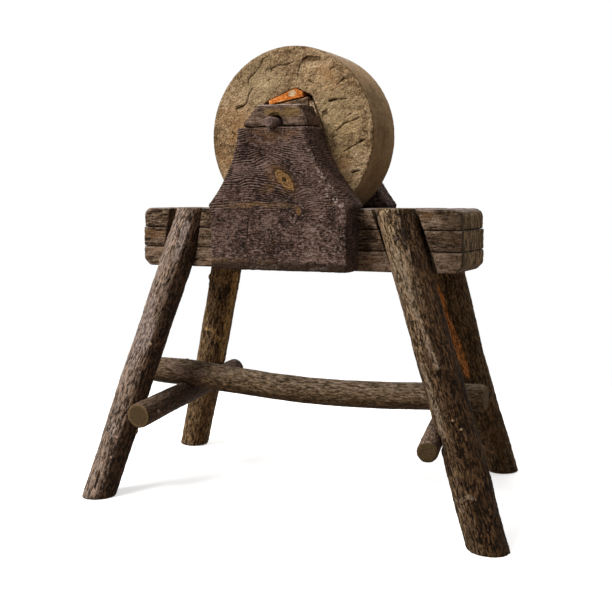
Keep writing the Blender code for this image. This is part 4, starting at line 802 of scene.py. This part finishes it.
def wood_finish(name, tones, worn_piece=True, depth=0.0016, bleach_and_sheen=0.0,
                stain=(0.190, 0.120, 0.048)):
    """Plain wood with fine strands, for wedges, pegs, caps and the grip, with painted shade away
    from the key light.
    """
    finish = Finish(name, worn_piece)
    strands = finish.noise((40.0, 180.0, 230.0), 4.0, rough=0.65)
    speck = finish.noise(240.0, 3.0, 0.7)
    blotch = finish.noise(40.0, 4.0, 0.6)
    finish.colour = finish.tones(strands * 0.40 + blotch * 0.30 + speck * 0.30, tones, 0.75)
    # Pale tops: bleaching, and a painted sheen of the sky.
    if bleach_and_sheen:
        facing_x, _, facing_z = finish.split(finish.attribute("facing"))
        up = facing_z.step(0.30, 0.80) * abs(facing_x).step(0.40, 0.20)
        finish.lay(up * speck.step(0.30, 0.52) * bleach_and_sheen, (0.460, 0.370, 0.330))
        # Faces turned to the left are painted darker.
        finish.lay(facing_x.step(-0.20, -0.50) * 0.55, (0.040, 0.025, 0.019))
    chips = finish.amount("arris") * speck.step(0.48, 0.58)
    finish.lay(chips * 0.6, tones[4])
    finish.lay(finish.amount("stain") * speck.step(0.30, 0.55), stain)
    # Painted shade on the faces turned away from the key light.
    finish.painted_shade_away(0.6, (0.50, 0.40, 0.33))
    finish.gap_dirt_and_shade()
    return finish.close(0.58 + strands * 0.35, strands + speck * 0.6, depth)


def iron_finish(name):
    """Rusty forged iron."""
    finish = Finish(name, worn_piece=False)
    scale = finish.noise(210.0, 4.0, 0.7)
    patch = finish.noise(60.0, 4.0, 0.6)
    finish.colour = finish.tones(scale * 0.55 + patch * 0.45, IRON_TONES, 0.9)
    bare = patch.step(0.50, 0.36)
    return finish.close(0.50 + scale * 0.4, scale + patch * 0.5, depth=0.0014,
                        metallic=bare * 0.35, shine=0.3)


FRONT_KNOTS = ((33, -141, 15, 35, 0.80, 0.95), (71, -217, 8, 10, 0.2, 0.70))
FRONT_OCHRE = (
    (-50, -204, 110, 9, OCHRE), (10, -30, 85, 28, RUST_BROWN),
    (-20, -350, 40, 10, OCHRE), (-150, -345, 60, 12, OCHRE),
    (5, -125, 26, 30, RUST_BROWN), (-18, -160, 24, 12, OCHRE),
    (85, -165, 30, 34, (0.030, 0.017, 0.013)), (100, -190, 40, 20, (0.034, 0.020, 0.015)),
)
REAR_KNOTS = ((-60, -120, 16, 24, 0.4, 0.9), (88, -255, 12, 18, 0.2, 0.6))
REAR_OCHRE = ((60, -200, 80, 12, OCHRE),)

PURPLE_BROWN = cheek_finish("cheek_wood_front", FRONT_KNOTS, FRONT_OCHRE)
GREY_BROWN = cheek_finish("cheek_wood_rear", REAR_KNOTS, REAR_OCHRE)
PLANK_WOOD = plank_finish("plank_wood")
SANDSTONE = sandstone_finish("sandstone")
IRON = iron_finish("rusty_iron")
CAP_WOOD = wood_finish("cap_wood", CAP_TONES, depth=0.0030, bleach_and_sheen=0.8)
HUB_WOOD = wood_finish("hub_wood", HUB_TONES)
WEDGE_WOOD = wood_finish("wedge_wood", WEDGE_TONES, stain=(0.600, 0.500, 0.320))
# The right wedge is a pale tan: dust, and painted light where it sits in the shade of the stone's
# eye.
PALE_WEDGE_WOOD = wood_finish("dusty_wedge_wood", PALE_WEDGE_TONES)
OLD_WEDGE_WOOD = wood_finish("old_wedge_wood", GRIP_TONES)
GRIP_WOOD = wood_finish("grip_wood", GRIP_TONES)
PEG_WOOD = wood_finish("peg_wood", HUB_TONES, worn_piece=False)
FRONT_LEFT_LOG = log_finish("log_front_left", (0.132, 0.091, 0.066), bleach_and_lit_side=0.60,
                            stain=(0.430, 0.338, 0.295))
FRONT_RIGHT_LOG = log_finish("log_front_right", (0.132, 0.088, 0.048), foot_shade=0.80,
                             painted_shade_turn=0.69, spread=0.36, stain=(0.340, 0.250, 0.170))
REAR_LEFT_LOG = log_finish("log_rear_left", (0.145, 0.090, 0.041), foot_shade=0.2, orange_share=0.4,
                           painted_shade_share=0.2, flecks=0.4, stain=(0.720, 0.460, 0.200))
REAR_RIGHT_LOG = log_finish("log_rear_right", (0.100, 0.060, 0.026), foot_shade=0.3, orange_share=0.4,
                            painted_shade_share=0.3, flecks=0.3, stain=(0.900, 0.370, 0.120))
STRETCHER_LOG = log_finish("log_stretcher", (0.100, 0.065, 0.035), orange_share=0.1, painted_shade_share=0.6,
                           spread=0.70, flecks=0.15, bleach_and_lit_side=0.20, stain=(0.230, 0.155, 0.115),
                           depth=0.0040)
BAR_LOG = log_finish("log_bars", (0.095, 0.060, 0.040), orange_share=0.1, painted_shade_share=0.7, spread=0.7,
                     flecks=0.3, depth=0.0040)


# Pieces

LOG_CARVING = log_carving()
CHEEK_CARVING = board_carving("cheek_carving", arris_rounds=10, arris_depth=0.0035, soft_rounds=1,
                              bite=1.6, ridge_stretch=(60.0, 150.0, 190.0), right_share=0.65)
PLANK_CARVING = board_carving("plank_carving", arris_rounds=4, arris_depth=0.0014, soft_rounds=0,
                              bite=0.35, ridge_stretch=(30.0, 120.0, 170.0),
                              joint_below=BEAM_TOP - JOINT_SOFTNESS)
BLOCK_CARVING = board_carving("block_carving", arris_rounds=14, arris_depth=0.0035, soft_rounds=5,
                              bite=1.3, ridge_stretch=(60.0, 150.0, 190.0))
CAP_CARVING = board_carving("cap_carving", arris_rounds=14, arris_depth=0.0035, soft_rounds=12,
                            bite=1.5, ridge_stretch=(50.0, 120.0, 150.0))
STONE_CARVING = stone_carving()
IRON_CARVING = iron_carving()

X_AXIS, Y_AXIS, Z_AXIS = Vector((1, 0, 0)), Vector((0, 1, 0)), Vector((0, 0, 1))


def on_front(depth, lines, size_unit=MILLIMETRES):
    """Lines on an upright plane at that depth, in millimetres right of and above the axle."""
    return [[(AXLE.x + x / MILLIMETRES, depth, AXLE.z + z / MILLIMETRES, size / size_unit)
             for x, z, size in line] for line in lines]


def from_axle(lines, size_unit=MILLIMETRES):
    """Lines in millimetres from the axle's middle, with a size."""
    return [[(*(start + step / MILLIMETRES for start, step in zip(AXLE, place)), size / size_unit)
             for *place, size in line] for line in lines]


def along_x(origin):
    return origin, X_AXIS, Y_AXIS


def log_grain(node):
    """The middle line of a log, from the middles of its two ends."""
    points = np.array([vertex.co[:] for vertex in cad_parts[node].data.vertices])
    centre = points.mean(axis=0)
    way = np.linalg.svd(points - centre, full_matrices=False)[2][0]
    for _ in range(2):
        along = (points - centre) @ way
        low, high = along.min(), along.max()
        reach = (high - low) * 0.06
        ends = [points[along < low + reach].mean(axis=0), points[along > high - reach].mean(axis=0)]
        way = (ends[1] - ends[0]) / np.linalg.norm(ends[1] - ends[0])
        centre = ends[0]
    way = Vector(way)
    side = way.cross(Y_AXIS if abs(way.y) < 0.8 else Z_AXIS).normalized()
    return Vector(ends[0]), way, side


STONE_CRACKS = (
    ((-62, 177, 76), (-77, 171, 93), (-83, 161, 97), (-85, 154, 84), (-98, 140, 97),
     (-120, 120, 101), (-121, 107, 76)),
    ((-108, 99, 84), (-116, 88, 97), (-120, 81, 101), (-122, 71, 89), (-126, 60, 105),
     (-134, 54, 114), (-148, 50, 131), (-156, 47, 89)),
    ((-71, 139, 72), (-65, 144, 89), (-54, 145, 110), (-34, 152, 84), (-10, 152, 89), (9, 159, 76)),
    ((-55, 143, 110), (-53, 138, 76)),
    ((30, 160, 122), (34, 163, 150), (48, 169, 131), (66, 167, 110), (82, 166, 84)),
    ((30, 160, 122), (24, 148, 110), (21, 135, 93), (20, 117, 84)),
    ((106, 56, 139), (116, 59, 150), (128, 60, 105), (156, 62, 80)), ((88, 29, 122), (101, 35, 89)),
    ((142, 0, 105), (152, 2, 135), (166, 5, 84), (181, 11, 135), (187, 13, 89)),
    ((126, -18, 93), (136, -10, 118), (150, 1, 89)), ((114, -34, 105), (128, -27, 84)),
    ((146, -69, 84), (160, -61, 97), (180, -51, 101), (196, -43, 147), (202, -40, 105)),
    ((168, -122, 105), (180, -118, 131), (190, -116, 89)),
    ((127, 97, 84), (140, 106, 110), (148, 111, 84)), ((-64, 113, 97), (-60, 118, 114)),
    ((-10, 127, 110), (-14, 124, 80)), ((108, 135, 80), (120, 141, 97)),
    ((50, 110, 84), (62, 104, 105)), ((158, 20, 80), (166, 24, 97)),
    ((-170, -12, 80), (-160, -20, 97)),
)
STONE_HOLLOWS = (
    ((40, 155, 9), (56, 151, 12), (74, 152, 11)), ((-150, 49, 7), (-140, 51, 6)),
    ((112, 52, 7), (124, 54, 6)), ((184, -122, 8), (176, -128, 10)), ((96, 20, 9), (102, 8, 8)),
)
# Painted shade, given as stain marks, under the spalled ledges of the stone's face.
STONE_LEDGE_SHADES = (
    ((30, 156, 4), (44, 163, 7), (60, 164, 7), (80, 163, 4)), ((-156, 47, 4), (-138, 50, 6)),
    ((88, 27, 4), (98, 30, 5)),
)

worn("grinding_stone", "wheel", STONE_CARVING, SANDSTONE, along_x(AXLE), 3,
     voxel=0.0026, wear=0.0028, cracks=on_front(STONE_FRONT, STONE_CRACKS, HUNDREDTHS),
     hollows=on_front(STONE_FRONT, STONE_HOLLOWS), stains_and_painted_light=on_front(STONE_FRONT, STONE_LEDGE_SHADES),
     crack_size=(0.0027, 0.0030), hollow_depth=0.0028)

CHEEK_HOLLOWS = (
    ((98, -60, 8), (108, -85, 6)), ((120, -112, 8), (134, -130, 9)),
    ((150, -152, 8), (164, -168, 10)), ((166, -186, 8), (182, -200, 9)),
    ((140, -165, 6), (146, -178, 5)), ((126, -142, 5), (130, -150, 4)),
    ((-60, -350, 10), (10, -354, 8)), ((100, -352, 9), (140, -354, 6)),
)
CHEEK_CRACKS = (((-64, -232, 80), (-69, -250, 100), (-70, -285, 70)),)
AXLE_RECESS = (((0, 0, 27), (4, -4, 27)),)
worn("cheek_front", "stand", CHEEK_CARVING, PURPLE_BROWN, along_x(AXLE),
     1, voxel=0.0022, wear=0.0022, cracks=on_front(CHEEK_FRONT, CHEEK_CRACKS, HUNDREDTHS),
     hollows=on_front(CHEEK_FRONT, CHEEK_HOLLOWS), crack_size=(0.0024, 0.0022))
worn("cheek_rear", "stand", CHEEK_CARVING, GREY_BROWN, along_x(AXLE), 5,
     voxel=0.0022, wear=0.0022, split_depth=0.0012)

BEAM_PALE_MARKS = (
    ((462, -61, -307, 4), (462, -36, -325, 5), (462, -14, -345, 5)),
    ((462, -10, -345, 5), (462, 16, -315, 4)),
    ((462, -75, -232, 4), (462, -86, -268, 5), (462, -90, -300, 4)),
    ((-381, -105, -353, 7), (-368, -105, -347, 8), (-355, -100, -359, 5)),
)
for count, plank in enumerate(("beam_bottom_plank", "beam_middle_plank",
                               "beam_top_plank_left", "beam_top_plank_right")):
    worn(plank, "stand", PLANK_CARVING, PLANK_WOOD,
         along_x(middle(plank)), 11 + count, voxel=0.0028, wear=0.0018, split_depth=0.0020,
         stains_and_painted_light=from_axle(BEAM_PALE_MARKS))

FRONT_LEFT_KNOBS = (
    ((-337, -229, -565, 8),), ((-366, -262, -793, 12),), ((-386, -315, -799, 6),),
    ((-395, -330, -850, 6),),
)
FRONT_RIGHT_KNOBS = (((493, -278, -684, 5),), ((513, -281, -702, 5),))
REAR_LEFT_KNOBS = (((-340, 97, -412, 11),),)
REAR_RIGHT_KNOBS = (((456, 269, -887, 6),),)
# Pale marks on the front left leg, in part painted light on its lit side.
FRONT_LEFT_PALE = (
    ((-285, -124, -255, 11), (-292, -141, -305, 10), (-302, -158, -350, 7)),
    ((-337, -217, -516, 10), (-347, -232, -554, 14), (-353, -243, -585, 10)),
    ((-346, -194, -445, 12), (-355, -216, -500, 21), (-361, -238, -560, 23),
     (-374, -260, -620, 12)), ((-397, -308, -765, 8), (-402, -316, -790, 9)),
)
# Pale marks on the front right leg: light cracks, and a painted light band down its lit side.
FRONT_RIGHT_PALE = (
    ((291, -134, -339, 5), (313, -155, -381, 7), (331, -170, -417, 5)),
    ((307, -145, -309, 9), (337, -167, -367, 11), (361, -186, -424, 10), (384, -200, -462, 7),
     (422, -226, -534, 7), (445, -238, -571, 6)),
    ((404, -226, -570, 6), (437, -254, -645, 12), (453, -267, -676, 12), (470, -283, -722, 8)),
    ((512, -316, -851, 5), (529, -330, -850, 6), (545, -332, -838, 5), (561, -332, -843, 4)),
    ((522, -330, -868, 4), (540, -334, -872, 5)),
)
# Pale marks on the rear left leg, with painted light along a lit stripe.
REAR_LEFT_PALE = (
    ((-369, 121, -568, 5), (-335, 121, -566, 5)),
    ((-344, 120, -573, 5), (-334, 137, -598, 6), (-337, 159, -634, 5)),
    ((-318, 145, -580, 5), (-332, 152, -618, 4)),
    ((-257, 101, -404, 10), (-282, 122, -479, 14), (-303, 137, -540, 14), (-330, 159, -619, 12),
     (-345, 175, -667, 8)),
)
REAR_RIGHT_ORANGE = (
    ((335, 108, -416, 12), (346, 115, -447, 14), (351, 127, -480, 13), (358, 139, -513, 14),
     (371, 148, -549, 15), (383, 163, -591, 14), (395, 176, -632, 11), (403, 186, -661, 8)),
)
# A pale mark on the stretcher's left part: its paler wood, and painted light over the left leg's
# cast shadow.
STRETCHER_PALE = (
    ((-389, -75, -640, 10), (-344, -80, -655, 15), (-306, -80, -660, 19), (-268, -80, -666, 10)),
)
FRONT_RIGHT_RING = (
    ((510, -312, -854, 90), (532, -332, -858, 110), (545, -333, -847, 100), (559, -334, -849, 110),
     (572, -326, -843, 80)), ((545, -333, -847, 90), (543, -337, -870, 80)),
)
LOGS = (
    ("leg_front_left", FRONT_LEFT_LOG, 0.0022, FRONT_LEFT_KNOBS, FRONT_LEFT_PALE, ()),
    ("leg_front_right", FRONT_RIGHT_LOG, 0.0022, FRONT_RIGHT_KNOBS, FRONT_RIGHT_PALE,
     FRONT_RIGHT_RING),
    ("leg_rear_left", REAR_LEFT_LOG, 0.0020, REAR_LEFT_KNOBS, REAR_LEFT_PALE, ()),
    ("leg_rear_right", REAR_RIGHT_LOG, 0.0022, REAR_RIGHT_KNOBS, REAR_RIGHT_ORANGE, ()),
    ("cross_bar_left", BAR_LOG, 0.0010, (), (), ()),
    ("cross_bar_right", BAR_LOG, 0.0010, (), (), ()),
    ("stretcher", STRETCHER_LOG, 0.0011, (), STRETCHER_PALE, ()),
)
LEG_SPLIT_DEPTH = 0.003
for count, (log, finish, wear, knobs, stains_and_painted_light, rings) in enumerate(LOGS):
    worn(log, "stand", LOG_CARVING, finish, log_grain(log), 21 + count,
         voxel=0.0026, wear=wear, split_depth=LEG_SPLIT_DEPTH if log.startswith("leg") else 0.0,
         cracks=from_axle(rings, HUNDREDTHS), knobs=from_axle(knobs), stains_and_painted_light=from_axle(stains_and_painted_light))

CAP_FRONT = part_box("bearing_cap_front")[0][1]
CAP_OCHRE = (((-20, -174, 26, 9), (10, -174, 22, 10)), ((32, -174, 24, 13), (60, -174, 24, 10)))
for count, cap in enumerate(("bearing_cap_front", "bearing_cap_rear")):
    worn(cap, "stand", CAP_CARVING, CAP_WOOD, along_x(middle(cap)),
         31 + count, voxel=0.0017, wear=0.0024, hollows=on_front(CAP_FRONT, AXLE_RECESS),
         stains_and_painted_light=from_axle(CAP_OCHRE), hollow_depth=0.005)

worn("hub_block", "wheel", BLOCK_CARVING, HUB_WOOD,
     (middle("hub_block"), Y_AXIS, X_AXIS), 41, voxel=0.0022, wear=0.0014)
WEDGE_BLOB = (((2, -85, 78, 5), (9, -85, 80, 8)),)
for count, (wedge, finish) in enumerate((("top", WEDGE_WOOD), ("right", PALE_WEDGE_WOOD),
                                         ("bottom", OLD_WEDGE_WOOD), ("left", OLD_WEDGE_WOOD))):
    worn(f"hub_wedge_{wedge}", "wheel", PLANK_CARVING, finish,
         along_x(middle(f"hub_wedge_{wedge}")), 43 + count, voxel=0.0018, wear=0.0014,
         stains_and_painted_light=from_axle(WEDGE_BLOB))

worn("axle", "wheel", IRON_CARVING, IRON, (AXLE, Y_AXIS, X_AXIS), 51,
     voxel=0.0014, wear=0.0006)
worn("crank_arm", "wheel", IRON_CARVING, IRON, (AXLE, Z_AXIS, X_AXIS), 53,
     voxel=0.0013, wear=0.0010)
worn("crank_grip", "grip", PLANK_CARVING, GRIP_WOOD,
     (middle("crank_grip"), Y_AXIS, X_AXIS), 55, voxel=0.0013, wear=0.0008)


def repaint(word, finish):
    """Gives every CAD node whose name starts with word a better finish."""
    for name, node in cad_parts.items():
        if name.startswith(word):
            for place in node.material_slots:
                place.material = finish


for word in ("leg_spike", "bar_spike", "stretcher_spike", "cheek_spike", "crank_key",
             "crank_spindle", "grip_washer"):
    repaint(word, IRON)
for word in ("beam_treenail", "cap_dowel"):
    repaint(word, PEG_WOOD)


# Floor, light and camera

FLOOR_REACH = 14.0
FLOOR_SHADOW_FROM, FLOOR_SHADOW_TO = 1.1, 2.0
FLOOR_GLOW = 0.50
GROUND_TONE, WHITE, WORLD_TINT = (0.30, 0.22, 0.15), (1.0, 1.0, 1.0), (1.0, 0.985, 0.96)
WORLD_STRENGTH = 0.22


def floor_finish():
    """White for the camera, with the object's shadow, and brown in the light it throws back."""
    finish = Finish("pale_floor", worn_piece=False)
    away = finish.vectors("LENGTH", finish.where, None, 1)
    seen = backdrop_seen(finish)
    far = away.step(FLOOR_SHADOW_FROM, FLOOR_SHADOW_TO) * seen
    speckle = finish.noise(90.0, 2.0)
    white = finish.mixed(speckle, (0.90, 0.90, 0.90), (0.93, 0.93, 0.93))
    near = finish.node("ShaderNodeBsdfPrincipled", None, {
        "Base Color": finish.mixed(seen, GROUND_TONE, white),
        "Roughness": 0.9, "Emission Color": finish.mixed(seen, (0, 0, 0), WHITE),
        "Emission Strength": FLOOR_GLOW})
    glow = finish.node("ShaderNodeEmission", None, {"Color": paint(*WHITE), "Strength": 1.0})
    surface = finish.node("ShaderNodeMixShader", None, {0: far, 1: near, 2: glow})
    finish.node("ShaderNodeOutputMaterial", None, {"Surface": surface})
    return finish.material


def make_floor():
    mesh = bpy.data.meshes.new("floor")
    reach = FLOOR_REACH
    corners = ((-reach, -reach, 0), (reach, -reach, 0), (reach, reach, 0), (-reach, reach, 0))
    mesh.from_pydata(corners, [], [(0, 1, 2, 3)])
    mesh.materials.append(floor_finish())
    floor = placed("floor", mesh)


def make_world():
    world = bpy.data.worlds.new("studio")
    world.use_nodes = True
    bpy.context.scene.world = world
    sheet = Sheet(world.node_tree)
    sheet.tree.nodes.clear()
    seen = backdrop_seen(sheet)
    lit, white = (
        sheet.node("ShaderNodeBackground", None, {"Color": paint(*colour), "Strength": strength})
        for colour, strength in ((WORLD_TINT, WORLD_STRENGTH), (WHITE, 1.0)))
    surface = sheet.node("ShaderNodeMixShader", None, {0: seen, 1: lit, 2: white})
    sheet.node("ShaderNodeOutputWorld", None, {"Surface": surface})


def make_lamp(name, place, aim, side, power):
    light = bpy.data.lights.new(name, "AREA")
    light.shape, light.size, light.energy, light.color = "SQUARE", side, power, LAMP_TINT
    lamp = placed(name, light)
    lamp.location = place
    lamp.rotation_euler = (Vector(aim) - Vector(place)).to_track_quat("-Z", "Y").to_euler()


CAMERA_FROM_AXLE = Vector((1.09976, -2.45325, -0.18498))
CAMERA_TURN, CAMERA_DOWN, FOCAL_PIXELS, SENSOR = 0.41888, 0.10651, 1010.488, 36.0


def make_camera():
    data = bpy.data.cameras.new("camera")
    data.sensor_width, data.lens = SENSOR, FOCAL_PIXELS / PICTURE_SIDE * SENSOR
    camera = placed("camera", data)
    ahead = Vector((-math.sin(CAMERA_TURN) * math.cos(CAMERA_DOWN),
                    math.cos(CAMERA_TURN) * math.cos(CAMERA_DOWN), -math.sin(CAMERA_DOWN)))
    right = Vector((math.cos(CAMERA_TURN), math.sin(CAMERA_TURN), 0.0))
    up = right.cross(ahead)
    turn = Matrix((right, up, -ahead)).transposed().to_4x4()
    camera.matrix_world = Matrix.Translation(AXLE + CAMERA_FROM_AXLE) @ turn
    bpy.context.scene.camera = camera


LAMP_TINT = (1.0, 0.97, 0.94)
LAMPS = (
    ("key", (-1.80, -2.60, 3.85), (0.0, 0.0, 0.6), 2.3, 250.0),
    ("overhead", (0.60, 0.10, 3.40), (0.0, 0.0, 0.9), 1.6, 26.0),
    ("rear", (-0.60, 3.60, 2.30), (0.0, 0.0, 0.6), 2.4, 60.0),
)

make_floor()
make_world()
for lamp in LAMPS:
    make_lamp(*lamp)
make_camera()
bpy.context.scene.view_settings.view_transform = "Standard"
